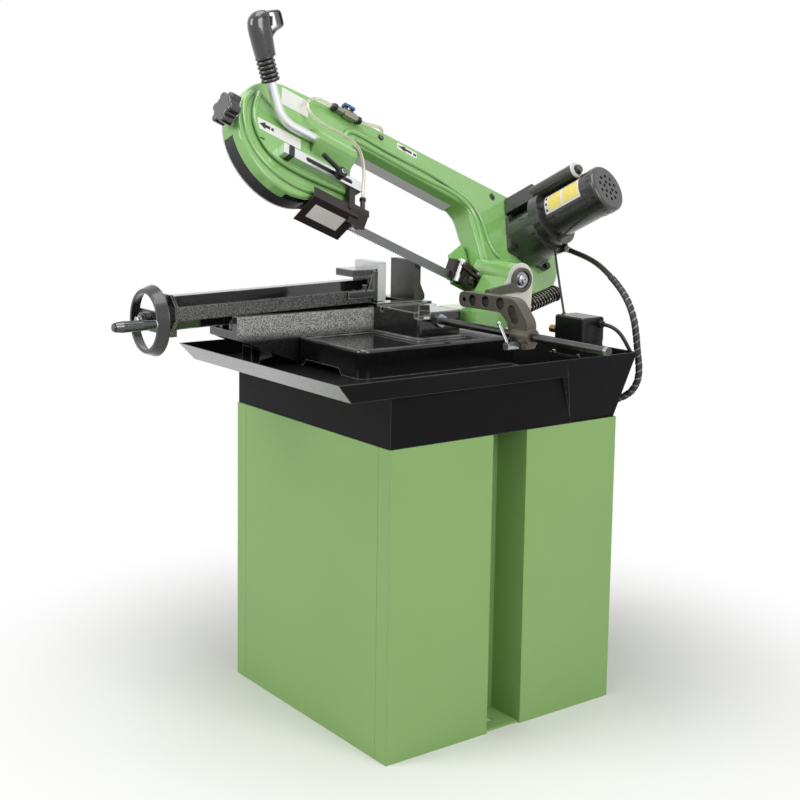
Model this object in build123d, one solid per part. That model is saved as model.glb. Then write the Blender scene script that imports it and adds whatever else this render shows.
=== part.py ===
from build123d import *
import math
import os

# Metal cutting band saw on a cabinet stand, in millimetres.
# +X is the operator's right, +Y the back and +Z up. The origin is on the floor under the cabinet.

# Cabinet stand
CAB_HALF_W = 270.0
CAB_HALF_D = 284.0
CAB_H = 590.0
CAB_FLANGE = 35.0
CAB_SHEET = 2.0
CHANNEL_Y = (-42.0, 43.0)
CHANNEL_DEPTH = 85.0
ANCHOR_X = 228.0
ANCHOR_HOLE_R = 7.0
FOOT_THICK = 4.0
TOP_FLANGE = 28.0

# Chip tray
TRAY_SHEET = 2.5
TRAY_FOLD_Z = 687.0
TRAY_LIP_Z = 722.0
TRAY_LIP_HALF_W = 290.0
TRAY_FOLD_HALF_W = 283.0
TRAY_LIP_Y = (-410.0, 318.0)
TRAY_FOLD_Y = (-378.0, 308.0)
PLINTH_HALF_W = 268.0
PLINTH_Y = (-282.0, 160.0)
TROUGH_HALF_W = 266.0
TROUGH_LOW_Y = (160.0, 280.0)
TROUGH_TOP_Y = (126.0, 318.0)

# Base casting
BASE_Z = TRAY_FOLD_Z + TRAY_SHEET
PAD_X = (-110.0, 116.0)
PAD_Y = (-240.0, 150.0)
PAD_Z = 746.0
BED_X = (-215.0, -105.0)
BED_Y = (-380.0, 88.0)
BED_Z = 794.0
TABLE_Z = 803.0
BLOCK_X = (-105.0, 50.0)
BLOCK_Y = (-55.0, 55.0)
BLOCK_Z = 798.0
SWIVEL_X = -75.0
SWIVEL_Y = 50.0
SWIVEL_PIN_R = 12.0

# Vise
VISE_X = -160.0
VISE_HALF = 33.0
VISE_CHAMFER = 20.0
VISE_Y = (-497.0, -46.0)
VISE_AXIS_Z = (804.0, 815.0)
SCREW_Z = 791.0
SCREW_R = 9.0
JOURNAL_R = 8.0
WHEEL_Y = -541.0
WHEEL_R = 68.5
WHEEL_FRONT_R = 60.0
WHEEL_WALL = 6.5
WHEEL_HALF = 11.0
GRIP_OFFSET = 52.0
JAW_TOP_Z = 885.0
MOVING_JAW_X = (-202.0, -118.0)
FIXED_JAW_X = (-178.0, -93.0)
FIXED_JAW_Y = (42.0, 58.0)

# Length stop
STOP_Y = -3.0
STOP_Z = 780.0
STOP_ROD_R = 7.5
STOP_ROD_X = (50.0, 525.0)
STOP_BOLT = (300.0, 763.0)
STOP_ARM_THICK = 22.0

# Bow: a tilted frame whose plane leans over the vise
PIVOT_Y = 225.0
PIVOT_Z = 850.0
PIVOT_R = 12.5
BOW_DROP = 23.4
BOW_LEAN = 30.0
BLADE_POINT = (-75.0, -116.0, 957.0)
BAND_R = 100.0
BAND_W = 20.0
BAND_T = 0.9
IDLER = (-200.0, 116.0)
DRIVE = (484.0, 162.0)
FRONT_R = 128.0
REAR_R = 118.0
EDGE_R = 6.0
FACE_IN = 14.0
FACE_OUT = 22.0
FIELD_OUT = 27.0
RIM_BACK = -28.0
RIM_WALL = 7.0
ARM_LOW_Q = 190.0
FREE_SPAN = (-66.0, 305.0)
FLAT_RUN = 32.0
TENSION_Q = 112.0
TENSION_R = 17.2
TENSION_SCREW_R = 4.0
KNOB_P = -331.0
CLAMP_BOLT = (-96.0, 66.0)
MOTOR = (480.0, 190.0)
DRUM = (484.0, 172.0)
GUIDE_BAR_Q = (55.0, 77.0)
HANDLE_Q = 133.0
HANDLE_R = 37.0
VALVE_Q = 246.0
VALVE_R = 31.0
GUIDE_BAR_R = (27.4, 46.0)

LOW = (Align.CENTER, Align.CENTER, Align.MIN)
drop = math.radians(BOW_DROP)
lean = math.radians(BOW_LEAN)
ALONG = (0.0, math.cos(drop), -math.sin(drop))
FACING = (math.cos(lean), math.sin(drop) * math.sin(lean), math.cos(drop) * math.sin(lean))
BOW = Plane(origin=BLADE_POINT, x_dir=ALONG, z_dir=FACING)
BLADE = Plane(origin=BLADE_POINT, x_dir=ALONG, z_dir=(1, 0, 0))

nodes = {}


def slab(x, y, z):
    """Box between (low, high) pairs."""
    middle = [(low + high) / 2 for low, high in (x, y, z)]
    size = [high - low for low, high in (x, y, z)]
    return Pos(*middle) * Box(*size)


def bar(start, end, radius):
    """Round bar from one point to another."""
    line = Vector(*end) - Vector(*start)
    place = Plane(origin=start, z_dir=line)
    return place * Cylinder(radius, line.length, align=LOW)


def hex_bar(start, end, radius):
    """Hexagonal bar from one point to another, radius to its corners."""
    line = Vector(*end) - Vector(*start)
    place = Plane(origin=start, z_dir=line)
    return extrude(place * RegularPolygon(radius, 6), amount=line.length, dir=line)


def prism(plane, points, depth):
    """Polygon on a plane, pushed along its normal."""
    return extrude(plane * Polygon(*points, align=None), amount=depth, dir=plane.z_dir)


def rectangle_at(z, x, y):
    """Rectangle at a height, between (low, high) pairs."""
    return Pos((x[0] + x[1]) / 2, (y[0] + y[1]) / 2, z) * Rectangle(x[1] - x[0], y[1] - y[0])


def half(width):
    """Symmetric (low, high) pair."""
    return (-width, width)


def disc(place, radius, r):
    """Cylinder square to the bow's face, between two levels."""
    return Pos(place[0], place[1], r[0]) * Cylinder(radius, r[1] - r[0], align=LOW)


def shifted(pair, low, high):
    """A pair with its ends moved inwards."""
    return (pair[0] + low, pair[1] - high)


def largest(shape):
    """Biggest solid of a shape."""
    return shape.solids().sort_by(SortBy.VOLUME)[-1]


def cord(name, points, radius):
    """Round cord along a route of straight runs and arcs as large as the runs allow."""
    route = [Vector(*point) for point in points]
    radii = []
    for before, here, after in zip(route, route[1:], route[2:]):
        turn = math.radians((here - before).get_angle(after - here))
        shorter = min((here - before).length, (after - here).length)
        radii.append(0.45 * shorter / math.tan(turn / 2))
    path = FilletPolyline(*points, radius=radii)
    print(name, "length", round(path.length), "bend radii", [round(value) for value in radii])
    start = Plane(origin=points[0], z_dir=route[1] - route[0])
    return sweep(start * Circle(radius), path=path)


# Cabinet: two folded side shells with a deep channel, a front and a rear panel
side_path = [
    (CAB_HALF_W - CAB_FLANGE, -CAB_HALF_D),
    (CAB_HALF_W, -CAB_HALF_D),
    (CAB_HALF_W, CHANNEL_Y[0]),
    (CAB_HALF_W - CHANNEL_DEPTH, CHANNEL_Y[0]),
    (CAB_HALF_W - CHANNEL_DEPTH, CHANNEL_Y[1]),
    (CAB_HALF_W, CHANNEL_Y[1]),
    (CAB_HALF_W, CAB_HALF_D),
    (CAB_HALF_W - CAB_FLANGE, CAB_HALF_D),
]
side_edge = offset(Polyline(*side_path), amount=CAB_SHEET, side=Side.LEFT, kind=Kind.INTERSECTION)
side_shell = extrude(make_face(side_edge), amount=CAB_H, dir=(0, 0, 1))
channel_in = CAB_HALF_W - CHANNEL_DEPTH
foot = slab((channel_in, CAB_HALF_W - 6), CHANNEL_Y, (0, FOOT_THICK))
foot -= Pos(ANCHOR_X, 0, 0) * Cylinder(ANCHOR_HOLE_R, 4 * FOOT_THICK)
side_shell += foot
nodes["cabinet_side_right"] = side_shell
nodes["cabinet_side_left"] = mirror(side_shell, about=Plane.YZ)
panel_half = CAB_HALF_W - CAB_FLANGE
panel_y = (-CAB_HALF_D, -CAB_HALF_D + CAB_SHEET)
front_panel = slab(half(panel_half - 0.4), panel_y, (0, CAB_H))
for side in (-1, 1):
    fold = sorted((side * (panel_half - 0.4), side * (panel_half - 0.4 - CAB_SHEET)))
    front_panel += slab(fold, shifted(panel_y, 0, -16), (0, CAB_H))
flange_y = shifted(panel_y, 0, -TOP_FLANGE)
front_panel += slab(half(panel_half - 0.4), flange_y, (CAB_H - CAB_SHEET, CAB_H))
nodes["cabinet_front_panel"] = front_panel
nodes["cabinet_rear_panel"] = mirror(front_panel, about=Plane.XZ)

# Chip tray: a shallow flared pan, a deep trough at its rear and a plinth box below
pan = loft(
    [
        rectangle_at(TRAY_FOLD_Z, half(TRAY_FOLD_HALF_W), TRAY_FOLD_Y),
        rectangle_at(TRAY_LIP_Z, half(TRAY_LIP_HALF_W), TRAY_LIP_Y),
    ],
    ruled=True,
)
trough = loft(
    [
        rectangle_at(CAB_H, half(TROUGH_HALF_W), TROUGH_LOW_Y),
        rectangle_at(TRAY_LIP_Z, half(TRAY_LIP_HALF_W), TROUGH_TOP_Y),
    ],
    ruled=True,
)
plinth = slab(half(PLINTH_HALF_W), PLINTH_Y, (CAB_H, TRAY_FOLD_Z))
t = TRAY_SHEET
pan_inside = loft(
    [
        rectangle_at(BASE_Z, half(TRAY_FOLD_HALF_W - t), shifted(TRAY_FOLD_Y, t, t)),
        rectangle_at(TRAY_LIP_Z + 0.1, half(TRAY_LIP_HALF_W - t), shifted(TRAY_LIP_Y, t, t)),
    ],
    ruled=True,
)
trough_inside = loft(
    [
        rectangle_at(CAB_H + t, half(TROUGH_HALF_W - t), shifted(TROUGH_LOW_Y, t, t)),
        rectangle_at(TRAY_LIP_Z + 0.1, half(TRAY_LIP_HALF_W - t), shifted(TROUGH_TOP_Y, t, t)),
    ],
    ruled=True,
)
plinth_inside = slab(
    half(PLINTH_HALF_W - t), shifted(PLINTH_Y, t, 2 * t), (CAB_H - 1, TRAY_FOLD_Z - t)
)
plinth_inside -= trough
nodes["chip_tray"] = (pan + trough + plinth) - plinth_inside - pan_inside - trough_inside

# Base casting: pad with a chip rim, vise bed, saw table and the swivel's pocket
pad_face = fillet(rectangle_at(BASE_Z, PAD_X, PAD_Y).vertices(), 20)
pad = extrude(pad_face, amount=PAD_Z - BASE_Z, dir=(0, 0, 1))
pad = fillet(pad.faces().sort_by(Axis.Z)[-1].edges(), 6)
pad -= slab((-104, PAD_X[1] - 8), (PAD_Y[0] + 8, BLOCK_Y[0] - 4), (PAD_Z - 5, PAD_Z + 1))
pad -= slab((BLOCK_X[1] + 4, PAD_X[1] - 8), (BLOCK_Y[0] - 4, 62), (PAD_Z - 5, PAD_Z + 1))
bed_profile = [
    (BED_Y[0], BED_Z),
    (BED_Y[1], BED_Z),
    (BED_Y[1], BASE_Z),
    (-232, BASE_Z),
    (BED_Y[0], 748),
]
bed = prism(Plane.YZ.offset(BED_X[0]), bed_profile, BED_X[1] - BED_X[0])
bed = fillet(bed.faces().sort_by(Axis.Z)[-1].edges().filter_by(Axis.Y), 3)
bed += slab((-185, -150), (-322, -302), (BASE_Z, 745))
table = slab((BED_X[0], -92), (BLOCK_Y[0], BED_Y[1]), (BED_Z - 10, TABLE_Z))
band_corner = [(-91, 62), (-91, 90), (-119, 90)]
table -= prism(Plane.XY.offset(TABLE_Z - 3), band_corner, 5)
block = slab(BLOCK_X, BLOCK_Y, (BASE_Z, BLOCK_Z))
block = fillet(block.edges().filter_by(Axis.Z).group_by(Axis.X)[-1], 8)
block_top = block.faces().sort_by(Axis.Z)[-1].edges()
block = fillet([edge for edge in block_top if edge.center().X > BLOCK_X[0] + 1], 3)
guard_corner = [(32, -57), (52, -57), (52, -37)]
block -= prism(Plane.XY.offset(786), guard_corner, 20)
boss = Pos(SWIVEL_X, SWIVEL_Y, BASE_Z) * Cylinder(30, 797 - BASE_Z, align=LOW)
base = pad + bed + table + block + boss
base -= slab((VISE_X - 36, VISE_X + 36), (BED_Y[0] - 1, 34), (764, TABLE_Z + 10))
base -= Pos(SWIVEL_X, SWIVEL_Y, 756) * Cylinder(46, 23, align=LOW)
base -= slab((BED_X[0] - 1, BLOCK_X[1] + 1), (40, PAD_Y[1] + 1), (756, 779)) - slab(
    (SWIVEL_X + 46, BLOCK_X[1] + 2), (39, BLOCK_Y[1]), (755, 780)
)
base -= Pos(SWIVEL_X, SWIVEL_Y, 712) * Cylinder(SWIVEL_PIN_R, 100, align=LOW)
mitre = math.degrees(math.atan2(85, -110))
base -= Pos(2, -4, BLOCK_Z) * Rot(0, 0, mitre) * Box(150, 22, 26)
base -= slab((SWIVEL_X - 5, SWIVEL_X + 5), (BLOCK_Y[0] - 1, 44), (788, BLOCK_Z + 1))
base -= slab((-95, 100), (-225, -70), (BASE_Z - 1, PAD_Z - 17))
base -= slab((60, 104), (-60, 135), (BASE_Z - 1, PAD_Z - 14))
foot_arch = [(-88, BASE_Z - 1), (-74, 702), (38, 702), (50, BASE_Z - 1)]
base -= prism(Plane.XZ.offset(220), foot_arch, 30)
nut = slab((VISE_X - 12, VISE_X + 12), (-345, -315), (760, 806))
base += nut - bar((VISE_X, -346, SCREW_Z), (VISE_X, -314, SCREW_Z), SCREW_R + 0.08)
nodes["base_casting"] = base

nodes["swivel_pin"] = bar((SWIVEL_X, SWIVEL_Y, 712), (SWIVEL_X, SWIVEL_Y, 796), SWIVEL_PIN_R)
fixed_jaw = slab(FIXED_JAW_X, FIXED_JAW_Y, (TABLE_Z, JAW_TOP_Z + 3))
rib_profile = [(FIXED_JAW_Y[1], TABLE_Z), (84, TABLE_Z), (84, 812), (FIXED_JAW_Y[1], 865)]
for rib_x in (-170, -126):
    fixed_jaw += prism(Plane.YZ.offset(rib_x), rib_profile, 14)
nodes["fixed_jaw"] = fixed_jaw

# Vise: an octagonal beam that runs in the bed, pulled by a screw and its nut
corner = VISE_HALF - VISE_CHAMFER
octagon = [
    (corner, VISE_HALF), (VISE_HALF, corner), (VISE_HALF, -corner), (corner, -VISE_HALF),
    (-corner, -VISE_HALF), (-VISE_HALF, -corner), (-VISE_HALF, corner), (-corner, VISE_HALF),
]


def octagon_at(y, z, scale):
    """Section of the vise beam at a distance along it."""
    points = [(VISE_X + scale * u, z + scale * v) for u, v in octagon]
    return Plane.XZ.offset(-y) * Polygon(*points, align=None)


beam = loft(
    [octagon_at(VISE_Y[0], VISE_AXIS_Z[0], 1), octagon_at(VISE_Y[1], VISE_AXIS_Z[1], 1)], ruled=True
)
beam += loft(
    [octagon_at(VISE_Y[0] - 6, VISE_AXIS_Z[0], 1.08), octagon_at(VISE_Y[0], VISE_AXIS_Z[0], 1.08)],
    ruled=True,
)
beam += slab((VISE_X - 14, VISE_X + 14), (VISE_Y[0] - 6, VISE_Y[0] + 8), (758, 775))
beam += slab((VISE_X - 35, VISE_X + 43), (VISE_Y[1], -36), (806, 867))
cap = fillet(slab((VISE_X - 30, VISE_X + 38), (-95, -36), (856, 871)).edges().filter_by(Axis.Z), 4)
beam += cap
beam += slab((VISE_X + 24, VISE_X + 43), (-110, -36), (812, 827))
gusset = [(-60, 826), (-36, 826), (-36, 860), (-50, 860)]
beam += prism(Plane.YZ.offset(VISE_X + 31), gusset, 10)
beam += bar((VISE_X + 37, -66, 820), (VISE_X + 37, -66, 840), 6)
beam += slab((VISE_X - 24, VISE_X + 24), (-375, -100), (764.4, 792))
beam -= slab((VISE_X - 13.5, VISE_X + 13.5), (VISE_Y[0] + 12, -96), (757, 811))
beam -= bar((VISE_X, VISE_Y[0] - 7, SCREW_Z), (VISE_X, VISE_Y[0] + 13, SCREW_Z), JOURNAL_R + 0.06)
nodes["vise_beam"] = beam
nodes["moving_jaw"] = slab(MOVING_JAW_X, (-36, -15), (TABLE_Z + 1, JAW_TOP_Z))
screw = bar((VISE_X, VISE_Y[0] + 12.5, SCREW_Z), (VISE_X, -150, SCREW_Z), SCREW_R)
screw += bar((VISE_X, -560, SCREW_Z), (VISE_X, VISE_Y[0] + 13, SCREW_Z), JOURNAL_R)
nodes["vise_screw"] = screw

rim_profile = [
    (WHEEL_FRONT_R - WHEEL_WALL, -WHEEL_HALF),
    (WHEEL_FRONT_R, -WHEEL_HALF),
    (WHEEL_FRONT_R + 2, 2 - WHEEL_HALF),
    (WHEEL_R, WHEEL_HALF - 2),
    (WHEEL_R, WHEEL_HALF),
    (WHEEL_R - WHEEL_WALL, WHEEL_HALF),
]
wheel_plane = Plane(origin=(VISE_X, WHEEL_Y, SCREW_Z), x_dir=(1, 0, 0), z_dir=(0, 1, 0))
rim = revolve(Plane.XZ * Polygon(*rim_profile, align=None), Axis.Z)
rim = fillet(rim.edges(), 0.8)
web = Pos(0, 0, 1) * extrude(Rectangle(2 * (WHEEL_R - WHEEL_WALL), 40), amount=8)
handwheel = rim + fillet(web.edges().filter_by(Axis.X), 2)
handwheel += Pos(0, 0, -16) * Cylinder(18, 36, align=LOW)
handwheel -= Cylinder(JOURNAL_R, 100)
handwheel += Pos(GRIP_OFFSET, 0, -10) * Cylinder(9, 20, align=LOW)
handwheel += Pos(GRIP_OFFSET, 0, -96) * Cylinder(4, 90, align=LOW)
handwheel += Pos(GRIP_OFFSET, 0, -98) * Cylinder(7, 3, align=LOW)
nodes["vise_handwheel"] = wheel_plane * handwheel
grip_profile = [(4.08, -94.5), (9, -94.5), (11, -80), (10, -40), (8, -13), (4.08, -13)]
grip_face = Plane.XZ * Polygon(*grip_profile, align=None)
nodes["handwheel_grip"] = wheel_plane * Pos(GRIP_OFFSET, 0, 0) * revolve(grip_face, Axis.Z)

# Length stop: a rod with a perforated arm that clamps anywhere along it
nodes["stop_rod"] = bar((STOP_ROD_X[0], STOP_Y, STOP_Z), (STOP_ROD_X[1], STOP_Y, STOP_Z), STOP_ROD_R)
arm_points = [
    (125, 818), (125, 848), (290, 849), (326, 808), (326, 756), (284, 756), (268, 802), (248, 819),
]
arm_face = Polygon(*arm_points, align=None)
for place, radius in zip(arm_points, (12, 12, 40, 26, 9, 9, 14, 14)):
    arm_face = fillet(arm_face.vertices().sort_by_distance((place[0], place[1], 0))[0], radius)
for hole_x, hole_z, hole_r in ((141, 832.5, 5), (166, 833.5, 11), (204, 834.5, 11), (247, 835, 12)):
    arm_face -= Pos(hole_x, hole_z) * Circle(hole_r)
arm_face -= Pos(285, 817) * Rot(0, 0, -58) * SlotCenterToCenter(18, 22)
arm_plane = Plane(origin=(0, STOP_Y + STOP_ARM_THICK / 2, 0), x_dir=(1, 0, 0), z_dir=(0, -1, 0))
stop_arm = extrude(arm_plane * arm_face, amount=STOP_ARM_THICK, dir=(0, -1, 0))
stop_arm += bar((282, STOP_Y, STOP_Z), (330, STOP_Y, STOP_Z), 16)
stop_arm -= bar((260, STOP_Y, STOP_Z), (350, STOP_Y, STOP_Z), STOP_ROD_R + 0.08)
bolt_x, bolt_z = STOP_BOLT
stop_arm -= bar((bolt_x, -20, bolt_z), (bolt_x, 10, bolt_z), 4.08)
stop_arm -= bar((bolt_x, -40, bolt_z), (bolt_x, -15.3, bolt_z), 9)
nodes["stop_arm"] = stop_arm
lever = bar((bolt_x, -44, bolt_z), (bolt_x, -15.5, bolt_z), 8)
lever += bar((bolt_x, -16, bolt_z), (bolt_x, 8, bolt_z), 4)
lever_tip = (bolt_x - 28, -36, bolt_z + 39)
lever += bar((bolt_x, -36, bolt_z), lever_tip, 3.5)
lever += Pos(*lever_tip) * Sphere(5)
nodes["stop_lever"] = lever

# Switch box on a bracket bolted to the tray's side
slope = (TRAY_LIP_HALF_W - TROUGH_HALF_W) / (TRAY_LIP_Z - CAB_H)
wall_at = [(TROUGH_HALF_W - t + slope * (z - CAB_H - t), z) for z in (704, 718)]
bracket_x = wall_at[0][0] - 2
bracket = slab((122, bracket_x), (232, 304), (704, 708))
flange = [wall_at[0], wall_at[1], (wall_at[1][0] - 4, 718), (wall_at[0][0] - 4, 704)]
bracket += prism(Plane.XZ.offset(-304), flange, 72)
nodes["switch_bracket"] = bracket
box_face = fillet(rectangle_at(708, (130, 212), (240, 300)).vertices(), 4)
nodes["switch_box"] = extrude(box_face, amount=30, dir=(0, 0, 1))
lid_face = fillet(rectangle_at(738, (129, 213), (239, 301)).vertices(), 5)
nodes["switch_box_lid"] = chamfer(
    extrude(lid_face, amount=48, dir=(0, 0, 1)).faces().sort_by(Axis.Z)[-1].edges(), 3
)
gland = hex_bar((129, 258, 752), (119, 258, 752), 11)
gland += bar((119, 258, 752), (101, 258, 752), 8)
gland += hex_bar((212, 290, 722), (220, 290, 722), 7)
gland += hex_bar((213, 288, 772), (221, 288, 772), 8)
nodes["box_glands"] = gland

# Swivel bracket: an eye under the table, a block and a round-topped upright that carries the pivot
eye_plan = [
    (SWIVEL_X - 36, SWIVEL_Y), (SWIVEL_X - 36, 150), (-30, 250), (36, 250), (80, 158), (80, 64),
    (SWIVEL_X + 38, 64), (SWIVEL_X + 38, SWIVEL_Y),
]
bracket = prism(Plane.XY.offset(757.5), eye_plan, 20)
bracket += Pos(SWIVEL_X, SWIVEL_Y, 757.5) * Cylinder(40, 20, align=LOW)
block_plan = fillet(rectangle_at(757.5, (-44.5, 80), (64, 160)).vertices(), 12)
bracket += extrude(block_plan, amount=39, dir=(0, 0, 1))
upright = [(120, 757.5), (255, 757.5), (261, PIVOT_Z), (191, PIVOT_Z + 8), (150, 800), (120, 790)]
bracket += prism(Plane.YZ.offset(-44.5), upright, 80.5)
bracket += bar((-44.5, PIVOT_Y, PIVOT_Z), (36, PIVOT_Y, PIVOT_Z), 36)
bracket -= bar((-50, PIVOT_Y, PIVOT_Z), (40, PIVOT_Y, PIVOT_Z), PIVOT_R)
bracket -= Pos(SWIVEL_X, SWIVEL_Y, 750) * Cylinder(SWIVEL_PIN_R + 0.06, 40, align=LOW)
SPRING_PITCH = math.radians(15)
SPRING_FROM = Vector(22, 243, 788)
SPRING_ALONG = Vector(0, math.cos(SPRING_PITCH), math.sin(SPRING_PITCH))
bracket += bar(SPRING_FROM - SPRING_ALONG * 14, SPRING_FROM + SPRING_ALONG * 16, 12)
nodes["swivel_bracket"] = bracket
pivot_shaft = bar((-70, PIVOT_Y, PIVOT_Z), (46, PIVOT_Y, PIVOT_Z), PIVOT_R)
pivot_shaft += bar((36, PIVOT_Y, PIVOT_Z), (40, PIVOT_Y, PIVOT_Z), 17)
nodes["pivot_shaft"] = pivot_shaft
stay = bar((36, PIVOT_Y, PIVOT_Z), (44, PIVOT_Y, PIVOT_Z), 26)
stay_arm = [(130, -30), (228, -24), (246, -12), (236, 0), (130, -16)]
stay_arm = [(y, PIVOT_Z + z) for y, z in stay_arm]
stay += prism(Plane.YZ.offset(37), stay_arm, 7)
stay += bar((30, 138, PIVOT_Z - 22), (48, 138, PIVOT_Z - 22), 6)
stay -= bar((30, PIVOT_Y, PIVOT_Z), (50, PIVOT_Y, PIVOT_Z), 19)
nodes["pivot_stay"] = stay - nodes["swivel_bracket"]

# Return spring: an open coil on its guide bolt
COIL_R = 15.0
COIL_WIRE = 2.6
COIL_TURNS = 9
COIL_PITCH = 8.2
coil_length = COIL_TURNS * COIL_PITCH
coil_start = SPRING_FROM + SPRING_ALONG * 17
coil_plane = Plane(origin=coil_start + SPRING_ALONG * COIL_WIRE, x_dir=(1, 0, 0), z_dir=SPRING_ALONG)
coil_points = []
for quarter in range(4 * COIL_TURNS + 1):
    angle = quarter * math.pi / 2
    rise = COIL_PITCH * quarter / 4
    coil_points.append(Vector(COIL_R * math.cos(angle), COIL_R * math.sin(angle), rise))
heading = Vector(0, 1, 0.6 * COIL_PITCH / (2 * math.pi * COIL_R))
coil_arcs = []
for here, there in zip(coil_points, coil_points[1:]):
    arc = TangentArc(here, there, tangent=heading)
    coil_arcs.append(arc)
    heading = arc % 1
coil_path = Wire([arc.edge() for arc in coil_arcs])
coil_section = Plane(origin=coil_points[0], z_dir=coil_arcs[0] % 0) * Circle(COIL_WIRE)
nodes["return_spring"] = coil_plane * sweep(coil_section, path=coil_path)
samples = [coil_path @ (step / 400) for step in range(401)]
apart = 400 // COIL_TURNS * 3 // 4
gaps = [(a - b).length for i, a in enumerate(samples) for b in samples[i + apart:]]
print("spring gap to itself", round(min(gaps) - 2 * COIL_WIRE, 2))
spring_end = coil_start + SPRING_ALONG * (coil_length + 2 * COIL_WIRE + 1)
spring_rod = bar(SPRING_FROM + SPRING_ALONG * 16, spring_end + SPRING_ALONG * 14, 6)
spring_rod += bar(spring_end, spring_end + SPRING_ALONG * 3, 18)
spring_rod += hex_bar(spring_end + SPRING_ALONG * 3, spring_end + SPRING_ALONG * 13, 12)
nodes["spring_rod"] = spring_rod

half_w = BAND_W / 2

# Bow casting: a C-shaped dish with rim walls, beads and bosses, drawn in the bow's own plane
low_angle = math.radians(-60)
front_low = (IDLER[0] + FRONT_R * math.cos(low_angle), IDLER[1] + FRONT_R * math.sin(low_angle))
top_front = (IDLER[0] - 0.122 * FRONT_R, IDLER[1] + 0.9925 * FRONT_R)
top_rear = (DRIVE[0] - 0.039 * REAR_R, DRIVE[1] + 0.9992 * REAR_R)
rear_low = (DRIVE[0] - 0.1736 * REAR_R, DRIVE[1] - 0.9848 * REAR_R)
corner_radii = {
    (395, -16): 20, (345, -24): 8, (354, 20): 40, (335, 100): 80, (304, ARM_LOW_Q): 36, front_low: 20,
    (-34, ARM_LOW_Q): 14, (-41, 103): 200, (-47, 35): 8, rear_low: 20, (-20, 260): 200,
}
throat = [
    (395, -16), (345, -24), (354, 20), (335, 100), (304, ARM_LOW_Q), (-34, ARM_LOW_Q), (-41, 103), (-47, 35),
]
outline = make_face(
    [
        Polyline(top_front, (-20, 260), top_rear),
        ThreePointArc(top_rear, (DRIVE[0] + REAR_R, DRIVE[1]), rear_low),
        Polyline(rear_low, *throat, front_low),
        ThreePointArc(front_low, (IDLER[0] - FRONT_R, IDLER[1]), top_front),
    ]
)
for place, radius in corner_radii.items():
    outline = fillet(outline.vertices().sort_by_distance((place[0], place[1], 0))[0], radius)
inner_outline = offset(outline, amount=-RIM_WALL, kind=Kind.INTERSECTION)
bow = extrude(Pos(0, 0, RIM_BACK) * outline, amount=FACE_OUT - RIM_BACK, dir=(0, 0, 1))
bow = fillet(bow.faces().sort_by(Axis.Z)[-1].edges(), EDGE_R)
bow -= extrude(Pos(0, 0, RIM_BACK) * inner_outline, amount=FACE_IN - RIM_BACK, dir=(0, 0, 1))
bow -= slab((-200, -38), (-30, 40), (RIM_BACK - 1, FACE_IN))
bow -= slab((320, 372), (-32, 48), (RIM_BACK - 1, FACE_IN))
band_relief = [(415, 31), (512, 62), (512, 69), (415, 38)]
bow -= prism(Plane.XY.offset(-half_w - 2), band_relief, 2 * half_w + 4)
STRIP_P = (-6.0, 276.0)
STRIP_R = -4.0
bow -= slab(STRIP_P, (ARM_LOW_Q - 1, ARM_LOW_Q + RIM_WALL), (RIM_BACK - 1, STRIP_R))
GUARD_ANGLES = (198, 297)
GUARD_R = (RIM_BACK + 0.4, -1.4)


def ring_sector(inner, outer, angles, r):
    """Part of a ring round the idler wheel's axis."""
    reach = 2 * outer
    middle = (angles[0] + angles[1]) / 2
    wedge = [(0, 0)]
    for angle in (angles[0], middle, angles[1]):
        wedge.append((reach * math.cos(math.radians(angle)), reach * math.sin(math.radians(angle))))
    sector = (Circle(outer) - Circle(inner)) & Polygon(*wedge, align=None)
    return Pos(IDLER[0], IDLER[1], r[0]) * extrude(sector, amount=r[1] - r[0], dir=(0, 0, 1))


bow -= ring_sector(FRONT_R - 20, FRONT_R + 2, GUARD_ANGLES, (RIM_BACK - 1, GUARD_R[1] + 0.2))
inner_bead = [
    (-284, 184), (-290, 154), (-292, 124), (-275, 80), (-248, 57), (-195, 46), (-130, 47), (-58, 52),
]
field_edge = Polyline(inner_bead[-1], (-52, 100), (-56, 140), (-150, 146), (-240, 161), inner_bead[0])
field = make_face([Spline(*inner_bead), field_edge])
bow += extrude(Pos(0, 0, FACE_OUT - 1) * field, amount=FIELD_OUT - FACE_OUT + 1, dir=(0, 0, 1))


def bead(points, radius, level):
    """Rounded bead on the casting's face, with round ends."""
    path = Spline(*[(p, q, level) for p, q in points])
    start = Plane(origin=path @ 0, z_dir=path % 0)
    ends = [Pos(*(path @ share)) * Sphere(radius) for share in (0, 1)]
    return sweep(start * Circle(radius), path=path) + ends[0] + ends[1]


outer_bead = [
    (-300, 178), (-315, 140), (-315, 112), (-306, 80), (-283, 46), (-243, 22), (-193, 12), (-142, 15),
]
upper_bead = [
    (-58, 198), (-50, 212), (-30, 218), (40, 217), (189, 219), (270, 209), (326, 190), (350, 158),
    (368, 116), (392, 96),
]
lower_bead = [(-24, 200), (40, 200), (180, 200), (276, 199), (314, 182), (334, 144), (349, 90), (358, 60)]
bow += bead(outer_bead, 6, FACE_OUT - 1)
bow += bead(inner_bead, 6, FIELD_OUT - 3)
bow += bead([(-284, 184), (-262, 170), (-236, 160), (-150, 146)], 6, FIELD_OUT - 3)
bow += bead(upper_bead, 6, FACE_OUT - 1)
bow += bead(lower_bead, 6, FACE_OUT - 1)
boss_section = [(98, 20), (119, 45), (126, 52), (138, 54), (149, 49), (157, 38), (163, 20)]
boss_plane = Plane(origin=(-152, 0, 0), x_dir=(0, 1, 0), z_dir=(1, 0, 0))
bow += prism(boss_plane, boss_section, 100)
bow += disc(DRIVE, 28, (2, FACE_IN))
bow += disc((384, 252), 8, (FACE_OUT - 1, FACE_OUT + 1.5))
rear_flange = [(285, 76), (317, 112), (352, 90), (368, 8), (352, 2), (289, 4)]
bow += prism(Plane.XY.offset(RIM_BACK), rear_flange, 9)
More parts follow.
